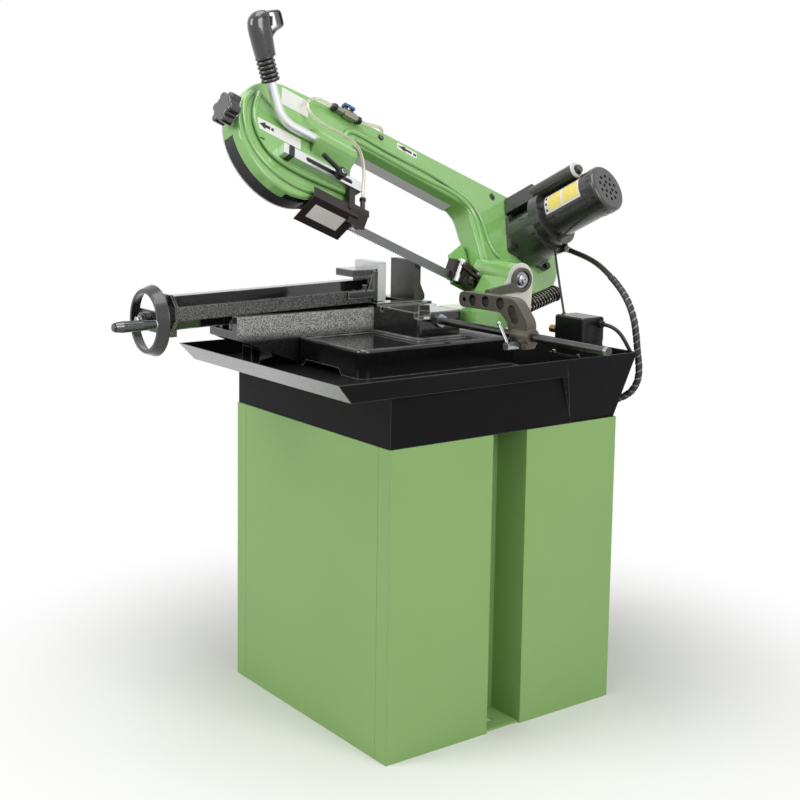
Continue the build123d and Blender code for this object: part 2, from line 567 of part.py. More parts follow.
lug = bar((-46, PIVOT_Y, PIVOT_Z), (-130, PIVOT_Y, PIVOT_Z), 34)
lug -= BOW * slab((200, 520), (-200, 300), (-200, FACE_IN))
bow = BOW * bow + lug
bow -= bar((-140, PIVOT_Y, PIVOT_Z), (-40, PIVOT_Y, PIVOT_Z), PIVOT_R + 0.06)
bow -= BOW * disc(DRIVE, 12.5, (-5, 20))
bow -= BOW * slab((-247, -138), (89.9, 150.1), (8.7, 23.5))
bow -= BOW * bar((-345, TENSION_Q, TENSION_R), (-240, TENSION_Q, TENSION_R), TENSION_SCREW_R + 0.3)
bow -= BOW * slab((-300, -30), shifted(GUIDE_BAR_Q, -0.3, -0.3), (GUIDE_BAR_R[0] - 0.2, 60))
bow -= BOW * bar((-160, HANDLE_Q, HANDLE_R), (-90, HANDLE_Q, HANDLE_R), 10)
bow -= BOW * bar((*CLAMP_BOLT, FACE_IN - 2), (*CLAMP_BOLT, FIELD_OUT + 2), 4.08)
nodes["bow_frame"] = bow
cover = extrude(Pos(0, 0, RIM_BACK - 2.5) * outline, amount=2.5, dir=(0, 0, 1))
set_back = [(286, ARM_LOW_Q + 6), (343, 104), (364, 20), (352, -30), (240, -30), (240, ARM_LOW_Q + 6)]
cover -= prism(Plane.XY.offset(RIM_BACK - 3), set_back, 4)
strip_q = (ARM_LOW_Q, ARM_LOW_Q + 3)
cover += slab(shifted(STRIP_P, 0.2, 0.2), strip_q, (RIM_BACK - 2.5, STRIP_R - 0.2))
nodes["wheel_cover"] = BOW * cover
guard_ring = ring_sector(FRONT_R - 4, FRONT_R - 0.5, shifted(GUARD_ANGLES, 0.4, 0.4), GUARD_R)
nodes["front_guard"] = BOW * guard_ring

# Band wheels: dished, with a flange behind the band
wheel_profile = [
    (12.06, -24), (28, -24), (28, -9), (BAND_R - 0.3, -9), (BAND_R - 0.3, 10.4), (BAND_R + 3, 10.4),
    (BAND_R + 3, 12.4), (BAND_R - 13, 12.4), (BAND_R - 13, -2), (12.06, -2),
]
wheel = revolve(Plane.XZ * Polygon(*wheel_profile, align=None), Axis.Z)
for spoke in range(6):
    wheel -= PolarLocations(58, 1, start_angle=60 * spoke) * Cylinder(16, 60)
nodes["idler_wheel"] = BOW * Pos(*IDLER) * wheel
shaft = disc(DRIVE, 13, (-24, -2)) + disc(DRIVE, 12, (-3, 19.5))
nodes["drive_wheel"] = BOW * (Pos(*DRIVE) * wheel + shaft)
tension = slab((-240, -150), (90, 150), (9, 23.2))
tension += disc(IDLER, 18, (-1, 9))
tension += disc(IDLER, 12, (-28, 0))
tension -= bar((-241, TENSION_Q, TENSION_R), (-215, TENSION_Q, TENSION_R), TENSION_SCREW_R + 0.06)
nodes["tension_slide"] = BOW * tension
knob_face = Circle(26)
for lobe in range(6):
    knob_face += PolarLocations(25, 1, start_angle=60 * lobe) * Circle(9)
knob = fillet(extrude(knob_face, amount=24, dir=(0, 0, 1)).faces().sort_by(Axis.Z)[-1].edges(), 4)
knob = Pos(0, 0, 10) * knob + Cylinder(17, 10, align=LOW)
knob_plane = Plane(origin=(KNOB_P, TENSION_Q, TENSION_R), x_dir=(0, 1, 0), z_dir=(-1, 0, 0))
tension_knob = knob_plane * knob
tension_knob += bar((KNOB_P - 1, TENSION_Q, TENSION_R), (-217, TENSION_Q, TENSION_R), TENSION_SCREW_R)
nodes["tension_knob"] = BOW * tension_knob

# Band: flat on both wheels, pressed down by the guides and turned upright between them
flat = 90.0
upright_turn = BOW_LEAN
ring = extrude(Circle(BAND_R + BAND_T) - Circle(BAND_R), amount=half_w, both=True)
middle_r = BAND_R + BAND_T / 2


def band_section(place, run, turn):
    """Band section at a place, square to its run and turned about it."""
    a = math.radians(turn)
    across = Vector(-run.Y, run.X, 0) * math.cos(a) + Vector(0, 0, math.sin(a))
    return Plane(origin=place, x_dir=across, z_dir=run) * Rectangle(BAND_W, BAND_T)


def twist(start, end, turns, steps=4):
    """Stretch of band that turns evenly from one attitude to another."""
    run = (end - start).normalized()
    sections = []
    for step in range(steps + 1):
        share = step / steps
        place = start + (end - start) * share
        sections.append(band_section(place, run, turns[0] + share * (turns[1] - turns[0])))
    return loft(sections, ruled=True)


def low_tangent(wheel, guide):
    """Point where the band leaves a wheel's lower side for a guide."""
    line = guide - wheel
    reach = math.acos(middle_r / line.length)
    side = -1 if line.X > 0 else 1
    angle = math.atan2(line.Y, line.X) + side * reach
    return wheel + Vector(math.cos(angle), math.sin(angle), 0) * middle_r


idler_at = Vector(*IDLER, 0)
drive_at = Vector(*DRIVE, 0)
centre_run = (drive_at - idler_at).normalized()
top_side = Vector(-centre_run.Y, centre_run.X, 0)
band = None
for wheel_at, guide_p, side in ((idler_at, FREE_SPAN[0], -1), (drive_at, FREE_SPAN[1], 1)):
    guide_at = Vector(guide_p, -BAND_T / 2, 0)
    leave = low_tangent(wheel_at, guide_at)
    top = wheel_at + top_side * middle_r
    chord = (top - leave).normalized()
    away = Vector(side * abs(chord.Y), -side * chord.X if chord.Y > 0 else side * chord.X, 0)
    corners = [top + chord * 60, leave - chord * 60]
    corners += [corners[1] + away * 400, corners[0] + away * 400]
    half_space = prism(Plane.XY.offset(-50), [(c.X, c.Y) for c in corners], 100)
    turn_part = (Pos(wheel_at.X, wheel_at.Y) * ring) & half_space
    run = (guide_at - leave).normalized()
    flat_end = leave + run * FLAT_RUN
    lower_part = twist(leave, flat_end, (flat, flat), 1) + twist(flat_end, guide_at, (flat, upright_turn))
    band = turn_part + lower_part if band is None else band + turn_part + lower_part
band += twist(idler_at + top_side * middle_r, drive_at + top_side * middle_r, (flat, flat), 1)
span_ends = [Vector(p, -BAND_T / 2, 0) for p in FREE_SPAN]
band += twist(*span_ends, (upright_turn, upright_turn), 1)
nodes["saw_band"] = BOW * band


# Guides: a roller each side of the band and one behind it
def rollers(place, behind):
    """Three guide bearings round the upright band, the third behind it at its own place."""
    side_x = 8 + BAND_T / 2 + 0.3
    group = []
    for side in (-1, 1):
        group.append(bar((place, -7, side * side_x), (place, 9, side * side_x), 8))
    back_w = half_w + 0.4 + 9
    group.append(bar((behind, back_w, -5), (behind, back_w, 5), 9))
    return group


def roller_space(place, behind):
    """Room that a guide body leaves for its rollers and the band."""
    room = slab((place - 10, place + 10), (-12, 11), half(20))
    room += slab((behind - 10, behind + 10), (9, 30), half(6))
    return room + slab((place - 90, place + 90), (-40, half_w + 0.8), half(2.5))


REAR_ROLLERS = (272, 294)
FRONT_ROLLERS = (-24, -44)
rear_guide = slab((258, 303), (-4, 38), (-20, 12))
rear_guide -= slab((250, 281), (10, 40), (5, 30))
rear_guide -= roller_space(*REAR_ROLLERS)
slot_place = Pos(298, 20, 19) * Rot(0, 0, -13)
slotted = extrude(slot_place * (SlotOverall(62, 20) - SlotOverall(34, 8)), amount=8, dir=(0, 0, 1))
slotted += extrude(slot_place * Pos(-22, 0, 0) * Rectangle(16, 18), amount=-14, dir=(0, 0, 1))
rear_guide = (BLADE * rear_guide) + (BOW * slotted) - (BLADE * roller_space(*REAR_ROLLERS))
nodes["rear_guide"] = largest(rear_guide - nodes["bow_frame"])
rear_rollers = rollers(*REAR_ROLLERS)
rear_rollers[1] += bar((272, 8, 8.75), (272, 36, 8.75), 5)
rear_rollers[1] += hex_bar((272, 36, 8.75), (272, 42, 8.75), 8)
rear_rollers = [(BLADE * part) - nodes["rear_guide"] for part in rear_rollers]
nodes["rear_guide_rollers"] = Compound(children=[part - nodes["bow_frame"] for part in rear_rollers])
clamp = Pos(300, -8, 4) * Rot(0, 0, -25) * Box(30, 24, 14, align=LOW)
clamp += hex_bar((300, -8, 18), (300, -8, 24), 8)
clamp -= slab((294, 330), (-14, 14), half(12))
clamp = (BOW * clamp) - (BLADE * roller_space(*REAR_ROLLERS)) - nodes["rear_guide"]
nodes["rear_guide_clamp"] = largest(clamp - nodes["bow_frame"])

guide_bar = slab((-232, -34), GUIDE_BAR_Q, GUIDE_BAR_R)
slot_q = (GUIDE_BAR_Q[0] + GUIDE_BAR_Q[1]) / 2
slot_face = Pos(-118, slot_q, 0) * SlotOverall(120, 10)
guide_bar -= extrude(slot_face, amount=60, dir=(0, 0, 1))
nodes["guide_bar"] = BOW * guide_bar
front_guide = slab((-62, -48), (10, GUIDE_BAR_Q[0]), (29, 43))
front_guide += slab((-62, -10), (6, 20), (24, 43))
front_guide += bar((-20, 10, 34), (-20, 44, 34), 5)
guide_head = slab((-56, -12), (-2, 31), (-20, 34))
front_guide = (BOW * front_guide) + (BLADE * guide_head)
front_guide -= BLADE * roller_space(*FRONT_ROLLERS)
nodes["front_guide"] = largest(front_guide - nodes["bow_frame"])
front_rollers = [(BLADE * part) - nodes["front_guide"] for part in rollers(*FRONT_ROLLERS)]
nodes["front_guide_rollers"] = Compound(children=front_rollers)
guard_section = [(-4, 38), (-26, -24), (-28, -23.4), (-6, 40), (16, 40), (16, 38)]
guard_plane = Plane(origin=(-150, 0, 0), x_dir=(0, 1, 0), z_dir=(1, 0, 0))
guide_guard = BOW * prism(guard_plane, guard_section, 114)
nodes["guide_guard"] = largest(guide_guard - nodes["front_guide"])
clamp_lever = disc(CLAMP_BOLT, 4, (FACE_IN, GUIDE_BAR_R[1] + 2))
clamp_lever += disc(CLAMP_BOLT, 11, (GUIDE_BAR_R[1] + 0.4, GUIDE_BAR_R[1] + 16))
clamp_lever += bar((*CLAMP_BOLT, 58), (CLAMP_BOLT[0] - 54, CLAMP_BOLT[1] + 14, 64), 5)
clamp_lever += bar((*CLAMP_BOLT, 58), (CLAMP_BOLT[0] + 8, CLAMP_BOLT[1] - 2, 57), 7)
nodes["guide_clamp_lever"] = BOW * clamp_lever

# Gearbox and motor
flange_face = fillet((Pos(490, 170) * Rectangle(130, 100)).vertices(), 10)
gearbox = extrude(Pos(0, 0, FACE_OUT) * flange_face, amount=10, dir=(0, 0, 1))
gearbox += disc(DRUM, 62, (FACE_OUT + 8, 102))
gearbox += disc(MOTOR, 66, (98, 124))
nodes["gearbox"] = (BOW * gearbox) - nodes["bow_frame"]
nodes["motor"] = BOW * disc(MOTOR, 51, (124, 252))
fan_cover = fillet(disc(MOTOR, 53, (240, 276)).faces().sort_by(Axis.Z)[-1].edges(), 7)
fan_cover -= disc(MOTOR, 51, (230, 272))
for ring_radius, count in ((13, 6), (27, 10)):
    for hole in range(count):
        around = Rot(0, 0, 360 / count * hole) * Pos(ring_radius, 0, 274)
        fan_cover -= Pos(*MOTOR) * around * Cylinder(4, 20)
nodes["fan_cover"] = (BOW * fan_cover) - nodes["motor"]
housing = slab((424, 478), (222, 262), (FACE_OUT + 2, 108))
housing += disc((440, 244), 18, (100, 226)) + disc((440, 244), 9, (226, 236))
nodes["capacitor_housing"] = (BOW * housing) - nodes["motor"] - nodes["gearbox"] - nodes["fan_cover"]
bolts = []
for p, q in ((434, 129), (546, 129), (434, 211), (546, 211)):
    bolts.append(hex_bar((p, q, FACE_OUT + 10), (p, q, FACE_OUT + 17), 8))
bolt_group = [(BOW * bolt) - nodes["gearbox"] - nodes["capacitor_housing"] for bolt in bolts]
nodes["gearbox_bolts"] = Compound(children=[bolt for bolt in bolt_group if bolt.volume > 100])

# Handle: a bent tube, a ribbed boot and a pistol grip with its trigger
TUBE_R = 10.0
bend_at = Vector(-236, HANDLE_Q, HANDLE_R)
tube_start = (-148, HANDLE_Q, HANDLE_R)
UP_LOCAL = Vector(-0.653, 0.652, 0.376).normalized()
boot_start = bend_at + UP_LOCAL * 78
boot_end = boot_start + UP_LOCAL * 52
tube_path = FilletPolyline(tube_start, tuple(bend_at), tuple(boot_end + UP_LOCAL * 40), radius=70)
tube = sweep(Plane(origin=tube_start, z_dir=(-1, 0, 0)) * Circle(TUBE_R), path=tube_path)
nodes["handle_tube"] = BOW * tube
boot_plane = Plane(origin=boot_start, z_dir=UP_LOCAL)
RIBS = 6
rib_pitch = 52 / RIBS
boot_sections = []
for rib in range(RIBS):
    foot_z = rib * rib_pitch
    for share, radius in ((0, 15.5), (0.25, 19), (0.6, 19), (0.85, 15.5)):
        boot_sections.append(Pos(0, 0, foot_z + share * rib_pitch) * Circle(radius))
boot_sections.append(Pos(0, 0, 52) * Circle(15.5))
boot = loft(boot_sections, ruled=True) - Pos(0, 0, -1) * Cylinder(TUBE_R, 60, align=LOW)
nodes["handle_boot"] = BOW * (boot_plane * boot)
GRIP_X = -108.0
grip_outline = [
    (-336, 1288), (-350, 1333), (-360, 1358), (-350, 1374), (-329, 1384), (-291, 1388),
    (-278, 1352), (-297, 1340), (-303, 1328), (-295, 1299),
]
grip_face = Polygon(*grip_outline, align=None)
for place, radius in (((-350, 1374), 14), ((-360, 1358), 10), ((-291, 1388), 5), ((-278, 1352), 4)):
    grip_face = fillet(grip_face.vertices().sort_by_distance((place[0], place[1], 0))[0], radius)
window = Polygon((-310, 1374), (-294, 1380), (-286, 1356), (-303, 1347), align=None)
grip = extrude(Plane.YZ.offset(GRIP_X - 19) * (grip_face - window), amount=38, dir=(1, 0, 0))
grip -= BOW * bar(boot_end - UP_LOCAL * 30, boot_end + UP_LOCAL * 40, TUBE_R)
nodes["handle_grip"] = grip
nodes["trigger"] = slab((GRIP_X - 7, GRIP_X + 7), (-314, -305), (1354, 1372))
nodes["handle_grip"] -= slab((GRIP_X - 7.4, GRIP_X + 7.4), (-320, -300), (1353.6, 1372.4))
nodes["handle_grip"] -= nodes["handle_boot"]
nodes["trigger"] = nodes["trigger"] - (BOW * bar(boot_end, boot_end + UP_LOCAL * 40, TUBE_R + 1))

# Coolant valve and clear hoses
valve = bar((-100, VALVE_Q, VALVE_R), (-27, VALVE_Q, VALVE_R), 7)
valve += hex_bar((-72, VALVE_Q, VALVE_R), (-42, VALVE_Q, VALVE_R), 11)
valve += bar((-58, VALVE_Q, VALVE_R), (-58, VALVE_Q + 16, VALVE_R), 5)
valve += slab((-66, -50), (VALVE_Q - 7, VALVE_Q + 7), (FACE_OUT - 1, VALVE_R))
nodes["coolant_valve"] = (BOW * valve) - nodes["bow_frame"]
lever_q = VALVE_Q + 16.3
valve_lever = slab((-72, -44), (lever_q, lever_q + 6), (VALVE_R - 6, VALVE_R + 6))
valve_lever += bar((-58, lever_q, VALVE_R), (-58, lever_q + 7, VALVE_R), 6)
nodes["valve_lever"] = BOW * valve_lever
HOSE_R = 3.5
hose_front_route = [
    (-100.4, VALVE_Q, VALVE_R), (-122, 246, 31), (-150, 238, 36), (-174, 216, 40), (-178, 192, 43),
    (-160, 170, 49), (-126, 162, 55), (-90, 160, 58), (-56, 154, 58), (-32, 134, 49), (-20, 104, 38),
    (-19.6, 74, 34), (-20, 44.6, 34),
]
nodes["hose_front"] = BOW * cord("hose_front", hose_front_route, HOSE_R)
hose_rear_route = [
    (-26.6, VALVE_Q, VALVE_R), (-8, 246, 31), (10, 249, 34), (26, 251, 38), (38, 248, 34), (41, 244, 22),
]
nodes["hose_rear"] = (BOW * cord("hose_rear", hose_rear_route, HOSE_R)) - nodes["bow_frame"]

# Electric cables between the motor, the switch box and the tray
CABLE_R = 6.0
upper_route = [
    (-58, 438, 904), (-10, 423, 898), (36, 407, 894), (84, 391, 887), (130, 374, 876), (168, 360, 862),
]
nodes["cable_upper"] = cord("cable_upper", upper_route, CABLE_R) - nodes["gearbox"]
lower_route = [
    (168.4, 359.8, 861.8), (208, 346, 845), (242, 338, 818), (262, 335, 786), (270, 335, 752),
    (274, 336, 718), (280, 337, 684), (278, 335, 656), (266, 329, 634), (250, 317, 621), (242, 300, 617),
    (240, 284, 617),
]
nodes["cable_lower"] = largest(cord("cable_lower", lower_route, CABLE_R) - nodes["chip_tray"])
LEAD_R = 2.5
lead_upper_route = [(-32, 386, 904), (5, 358.6, 872), (46, 328.5, 840)]
nodes["lead_upper"] = cord("lead_upper", lead_upper_route, LEAD_R) - nodes["gearbox"]
lead_lower_route = [(46.3, 328.3, 839.8), (86, 299, 811), (124, 271, 784)]
nodes["lead_lower"] = cord("lead_lower", lead_lower_route, LEAD_R)
lead_gland = bar((124.4, 270.7, 783.7), (136, 262.2, 775.5), 5) - nodes["switch_box_lid"]
nodes["box_glands"] = Compound(children=[*nodes["box_glands"].solids(), *lead_gland.solids()])
box_cable_route = [(221.3, 288, 772), (241, 288, 772), (262, 295, 760), (273, 304, 738), (278, 315, 716)]
nodes["box_cable"] = largest(cord("box_cable", box_cable_route, 4.0) - nodes["chip_tray"])

base_bolts = []
base_bolts.append(
    hex_bar((STOP_ROD_X[0], STOP_Y, STOP_Z), (STOP_ROD_X[0] + 10, STOP_Y, STOP_Z), 14)
    - nodes["stop_rod"]
)
for bolt_x in (136, 206):
    base_bolts.append(hex_bar((bolt_x, 235, 708), (bolt_x, 235, 713), 5))
nodes["base_fasteners"] = Compound(children=base_bolts)

os.makedirs("parts", exist_ok=True)
for name, shape in nodes.items():
    export_step(shape, f"parts/{name}.step")
print(len(nodes), "nodes")
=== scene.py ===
"""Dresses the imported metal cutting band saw: finishes, cords, spring, boot, small fittings and light."""

from __future__ import annotations

import logging
import math
from dataclasses import dataclass
from enum import Enum
from typing import Any, Callable, Sequence

import bmesh
import bpy
from mathutils import Matrix, Vector

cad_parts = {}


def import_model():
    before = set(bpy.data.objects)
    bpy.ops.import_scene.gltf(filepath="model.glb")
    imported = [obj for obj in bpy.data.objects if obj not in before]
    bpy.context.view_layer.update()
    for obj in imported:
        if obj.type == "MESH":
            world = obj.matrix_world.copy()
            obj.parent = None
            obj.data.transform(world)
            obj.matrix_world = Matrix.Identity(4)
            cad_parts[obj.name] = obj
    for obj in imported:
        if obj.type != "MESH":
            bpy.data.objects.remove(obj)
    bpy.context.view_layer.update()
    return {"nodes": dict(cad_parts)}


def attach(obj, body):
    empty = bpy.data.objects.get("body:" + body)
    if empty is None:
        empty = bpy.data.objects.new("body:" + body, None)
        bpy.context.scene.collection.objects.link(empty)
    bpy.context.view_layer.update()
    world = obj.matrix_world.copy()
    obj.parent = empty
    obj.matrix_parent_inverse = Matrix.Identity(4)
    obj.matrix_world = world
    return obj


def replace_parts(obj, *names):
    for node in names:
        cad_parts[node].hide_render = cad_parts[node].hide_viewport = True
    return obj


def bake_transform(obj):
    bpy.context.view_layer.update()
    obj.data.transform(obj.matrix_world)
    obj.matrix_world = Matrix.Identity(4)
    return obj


LOG = logging.getLogger("band_saw")
MM = 0.001
TURN = 2 * math.pi
IMAGE_PX = 800
SENSOR_MM = 36.0
# Angles above which an edge stays sharp: on most pieces, and on round ones
SMOOTH_DEG, ROUND_DEG = 35.0, 60.0
# Chamfer of a plate's upper edge, and its greatest share of a thin plate
EASE_MM, EASE_SHARE = 0.3, 0.4
# Points along each turn of a spiral wrap
WRAP_STEPS = 10
# Middle range of a noise texture, which is spread over the whole of what it drives
NOISE_LOW, NOISE_HIGH = 0.3, 0.7
PATCH_SHARE = 0.5
ROUGH_SPREAD = 0.08
LEAST_ROUGHNESS, COAT_ROUGHNESS = 0.03, 0.06
# How far an edge turns where its edge colour starts and where it is full, and how much of it shows: rubbed
# wear, and on some finishes a painted highlight
EDGE_START, EDGE_FULL, EDGE_SHARE = 0.985, 0.86, 0.75
# Open sky where the painted shade in a hollow is darkest and where it ends, and how dark it is
HOLLOW_FULL, HOLLOW_END, HOLLOW_SHARE = 0.45, 0.98, 0.9
GLINT_SPAN = 0.26
# Sockets of the mix node when it mixes colours
MIX_FACTOR, MIX_A, MIX_B, MIX_RESULT = 0, 6, 7, 2

Pair = tuple[float, float]
Point = tuple[float, float, float]
Colour = tuple[float, float, float, float]
Profile = Sequence[Pair]
Route = tuple[Point, ...]
BMesh = bmesh.types.BMesh
Object = bpy.types.Object
Nodes = dict[str, Object]
Tree = bpy.types.NodeTree
Socket = bpy.types.NodeSocket
Inputs = dict[Any, Any]

WHITE: Colour = (1.0, 1.0, 1.0, 1.0)
RIGHT, FRONT = Vector((1, 0, 0)), Vector((0, -1, 0))


def linear(hex_colour: str) -> Colour:
    """Turns an sRGB hex colour to linear light.

    Args:
        hex_colour: Six hex digits after a hash sign.

    Returns:
        Linear red, green, blue and an alpha of one.
    """
    parts = [int(hex_colour[i : i + 2], 16) / 255 for i in (1, 3, 5)]
    bent = [c / 12.92 if c <= 0.04045 else ((c + 0.055) / 1.055) ** 2.4 for c in parts]
    return (bent[0], bent[1], bent[2], 1.0)


def per_metre(size_mm: float) -> float:
    """Texture scale that gives features of a real size in millimetres."""
    return 1000.0 / size_mm


def feed(node: bpy.types.Node, inputs: Inputs) -> None:
    """Sets a node's inputs to constants, or links them.

    Args:
        node: The node.
        inputs: Constants or output sockets, by the name or number of the input.
    """
    for name, value in inputs.items():
        if isinstance(value, bpy.types.NodeSocket):
            node.id_data.links.new(value, node.inputs[name])
        else:
            node.inputs[name].default_value = value


def add(tree: Tree, kind: str, inputs: Inputs | None = None, **settings: Any) -> bpy.types.Node:
    """Adds one shader node with its settings and links.

    Args:
        tree: Node tree that takes the node.
        kind: Type name of the node.
        inputs: Constants or output sockets, by the name or number of the input.
        settings: Attributes of the node.

    Returns:
        The new node.
    """
    node = tree.nodes.new(kind)
    for name, value in settings.items():
        setattr(node, name, value)
    feed(node, inputs or {})
    return node


class Making(Enum):
    """How a surface was made: the texture's stretch along X, Y and Z, kept apart by a last digit."""

    CAST = (1.0, 1.0, 1.0)
    SPRAYED = (1.0, 1.0, 1.0001)
    MOULDED = (1.0001, 1.0, 1.0)
    GROUND_ALONG_X = (0.03, 1.0, 1.0)
    GROUND_ALONG_Y = (1.0, 0.03, 1.0)


@dataclass(frozen=True)
class Finish:
    """One real material and its surface, and the record's slot for new pieces in it."""

    name: str
    colour: str
    shade: str
    roughness: float
    making: Making
    grain_mm: float
    depth_mm: float
    slot: str = ""
    metallic: float = 0.0
    coat: float = 0.0
    patch_mm: float = 45.0
    round_mm: float = 0.0
    edge_wear_and_highlight: str = ""
    edge_wear_and_highlight_mm: float = 1.0
    transmission: float = 0.0
    specular: float = 0.5
    painted_hollow_shade: str = ""
    painted_hollow_shade_mm: float = 10.0
    glint: str = ""
    glint_mm: float = 1.8
    glint_from: float = 0.36
    glint_fade: Pair = (0.0, 1.0)

    def build(self) -> bpy.types.Material:
        """Makes the material's nodes.

        Returns:
            The material, made once and then shared.
        """
        if self.name in bpy.data.materials:
            return bpy.data.materials[self.name]
        material = bpy.data.materials.new(self.name)
        material.use_nodes = True
        tree = material.node_tree
        place = add(tree, "ShaderNodeTexCoord").outputs["Object"]
        patch = add(
            tree, "ShaderNodeTexNoise",
            {"Vector": place, "Scale": per_metre(self.patch_mm), "Detail": 3.0, "Roughness": 0.55},
        ).outputs["Fac"]
        spread = add(
            tree, "ShaderNodeMapRange",
            {"Value": patch, "From Min": NOISE_LOW, "From Max": NOISE_HIGH, "To Max": PATCH_SHARE},
        ).outputs["Result"]
        colour = add(
            tree, "ShaderNodeMix",
            {MIX_FACTOR: spread, MIX_A: linear(self.colour), MIX_B: linear(self.shade)}, data_type="RGBA",
        ).outputs[MIX_RESULT]
        stretch = {"Vector": place, "Scale": self.making.value}
        lines = add(tree, "ShaderNodeMapping", stretch).outputs["Vector"]
        grain = add(
            tree, "ShaderNodeTexNoise",
            {"Vector": lines, "Scale": per_metre(self.grain_mm), "Detail": 2.0, "Roughness": 0.6},
        ).outputs["Fac"]
        rough = add(
            tree, "ShaderNodeMapRange",
            {
                "Value": grain, "From Min": NOISE_LOW, "From Max": NOISE_HIGH,
                "To Min": max(LEAST_ROUGHNESS, self.roughness - ROUGH_SPREAD),
                "To Max": self.roughness + ROUGH_SPREAD,
            },
        ).outputs["Result"]
        bump = add(tree, "ShaderNodeBump", {"Height": grain, "Strength": 1.0, "Distance": self.depth_mm * MM})
        if self.round_mm:
            eased = add(tree, "ShaderNodeBevel", {"Radius": self.round_mm * MM}, samples=6)
            feed(bump, {"Normal": eased.outputs["Normal"]})
        # Colour layers over the tone: the edge colour (rubbed wear, and on some finishes a painted
        # highlight), painted shade in hollows, and painted glints
        layers = []
        if self.edge_wear_and_highlight:
            layers.append((self.edge_wear_and_highlight, self.worn_and_highlit_edges(tree, patch)))
        if self.painted_hollow_shade:
            layers.append((self.painted_hollow_shade, self.painted_shade_in_hollows(tree)))
        if self.glint:
            layers.append((self.glint, self.painted_glints(tree, place)))
        for over, share in layers:
            mix = {MIX_FACTOR: share, MIX_A: colour, MIX_B: linear(over)}
            colour = add(tree, "ShaderNodeMix", mix, data_type="RGBA").outputs[MIX_RESULT]
        surface = {
            "Base Color": colour, "Roughness": rough, "Normal": bump.outputs["Normal"],
            "Metallic": self.metallic, "Coat Weight": self.coat, "Coat Roughness": COAT_ROUGHNESS,
            "Transmission Weight": self.transmission, "Specular IOR Level": self.specular,
        }
        feed(tree.nodes["Principled BSDF"], surface)
        return material

    def worn_and_highlit_edges(self, tree: Tree, patch: Socket) -> Socket:
        """Rubbed edges, and on some finishes painted edge highlights, broken by the patches.

        Args:
            tree: Node tree that takes the nodes.
            patch: Socket of the patches.

        Returns:
            Socket that rises on those edges.
        """
        edge = add(tree, "ShaderNodeBevel", {"Radius": self.edge_wear_and_highlight_mm * MM}, samples=4).outputs["Normal"]
        flat = add(tree, "ShaderNodeNewGeometry").outputs["Normal"]
        turn = add(tree, "ShaderNodeVectorMath", {0: edge, 1: flat}, operation="DOT_PRODUCT").outputs["Value"]
        span = {"From Min": EDGE_START, "From Max": EDGE_FULL, "To Max": EDGE_SHARE}
        wear_and_highlight_share = add(tree, "ShaderNodeMapRange", {"Value": turn, **span}).outputs["Result"]
        return add(tree, "ShaderNodeMath", {0: wear_and_highlight_share, 1: patch}, operation="MULTIPLY").outputs["Value"]

    def painted_shade_in_hollows(self, tree: Tree) -> Socket:
        """Painted shade in grooves and inner corners.

        Args:
            tree: Node tree that takes the nodes.

        Returns:
            Socket that rises in them.
        """
        reach = {"Distance": self.painted_hollow_shade_mm * MM}
        sky = add(tree, "ShaderNodeAmbientOcclusion", reach, samples=8, only_local=True).outputs["AO"]
        span = {"From Min": HOLLOW_FULL, "From Max": HOLLOW_END, "To Min": HOLLOW_SHARE, "To Max": 0.0}
        return add(tree, "ShaderNodeMapRange", {"Value": sky, **span}).outputs["Result"]

    def painted_glints(self, tree: Tree, place: Socket) -> Socket:
        """Painted glints: bright specks in the colour of a rough skin, which set in between two heights.

        Args:
            tree: Node tree that takes the nodes.
            place: Socket of the texture's coordinates.

        Returns:
            Socket that rises on the crests.
        """
        grit = {"Vector": place, "Scale": per_metre(self.glint_mm), "Detail": 3.0}
        crest = add(tree, "ShaderNodeTexNoise", grit).outputs["Fac"]
        span = {"From Min": self.glint_from, "From Max": self.glint_from + GLINT_SPAN}
        bright = add(tree, "ShaderNodeMapRange", {"Value": crest, **span}).outputs["Result"]
        height = add(tree, "ShaderNodeSeparateXYZ", {"Vector": place}).outputs["Z"]
        low, high = self.glint_fade
        span = {"From Min": low * MM, "From Max": high * MM}
        fade = add(tree, "ShaderNodeMapRange", {"Value": height, **span}).outputs["Result"]
        return add(tree, "ShaderNodeMath", {0: bright, 1: fade}, operation="MULTIPLY").outputs["Value"]


# Gloss enamel sprayed on a sand casting: a wet highlight over a slightly wavy skin, with painted highlights
# that make its edges paler and painted shade that darkens its grooves.
CAST_ENAMEL = Finish(
    "green_enamel_on_casting", "#87bc6a", "#7fb362", 0.20, Making.CAST, 6.0, 0.06,
    coat=0.8, round_mm=1.0, edge_wear_and_highlight="#b9d39c", edge_wear_and_highlight_mm=1.2, specular=0.4, painted_hollow_shade="#24401a", painted_hollow_shade_mm=9.0,
)
# Powder coat baked on folded sheet: even satin with a fine pebbled skin, drawn coarser than real to show.
GREEN_POWDER = Finish(
    "green_powder_coat_on_sheet", "#8eb36e", "#89ad6a", 0.45, Making.SPRAYED, 2.2, 0.03,
    round_mm=1.6, patch_mm=240.0, specular=0.3,
)
# Light grey enamel on the cover's sheet: even and softly shiny.
GREY_ENAMEL = Finish(
    "grey_enamel_on_sheet", "#d3d1d6", "#cbc9ce", 0.38, Making.SPRAYED, 2.2, 0.02,
    round_mm=1.0, patch_mm=120.0,
)
# Gloss enamel brushed thick on grey iron: deep black, with hard highlights along its edges painted in its
# pale edge colour.
BLACK_CAST = Finish(
    "black_enamel_on_iron", "#111111", "#181818", 0.17, Making.CAST, 7.0, 0.10,
    coat=0.75, round_mm=3.0, edge_wear_and_highlight="#f2f2ee", edge_wear_and_highlight_mm=4.6, patch_mm=30.0, specular=0.3,
)
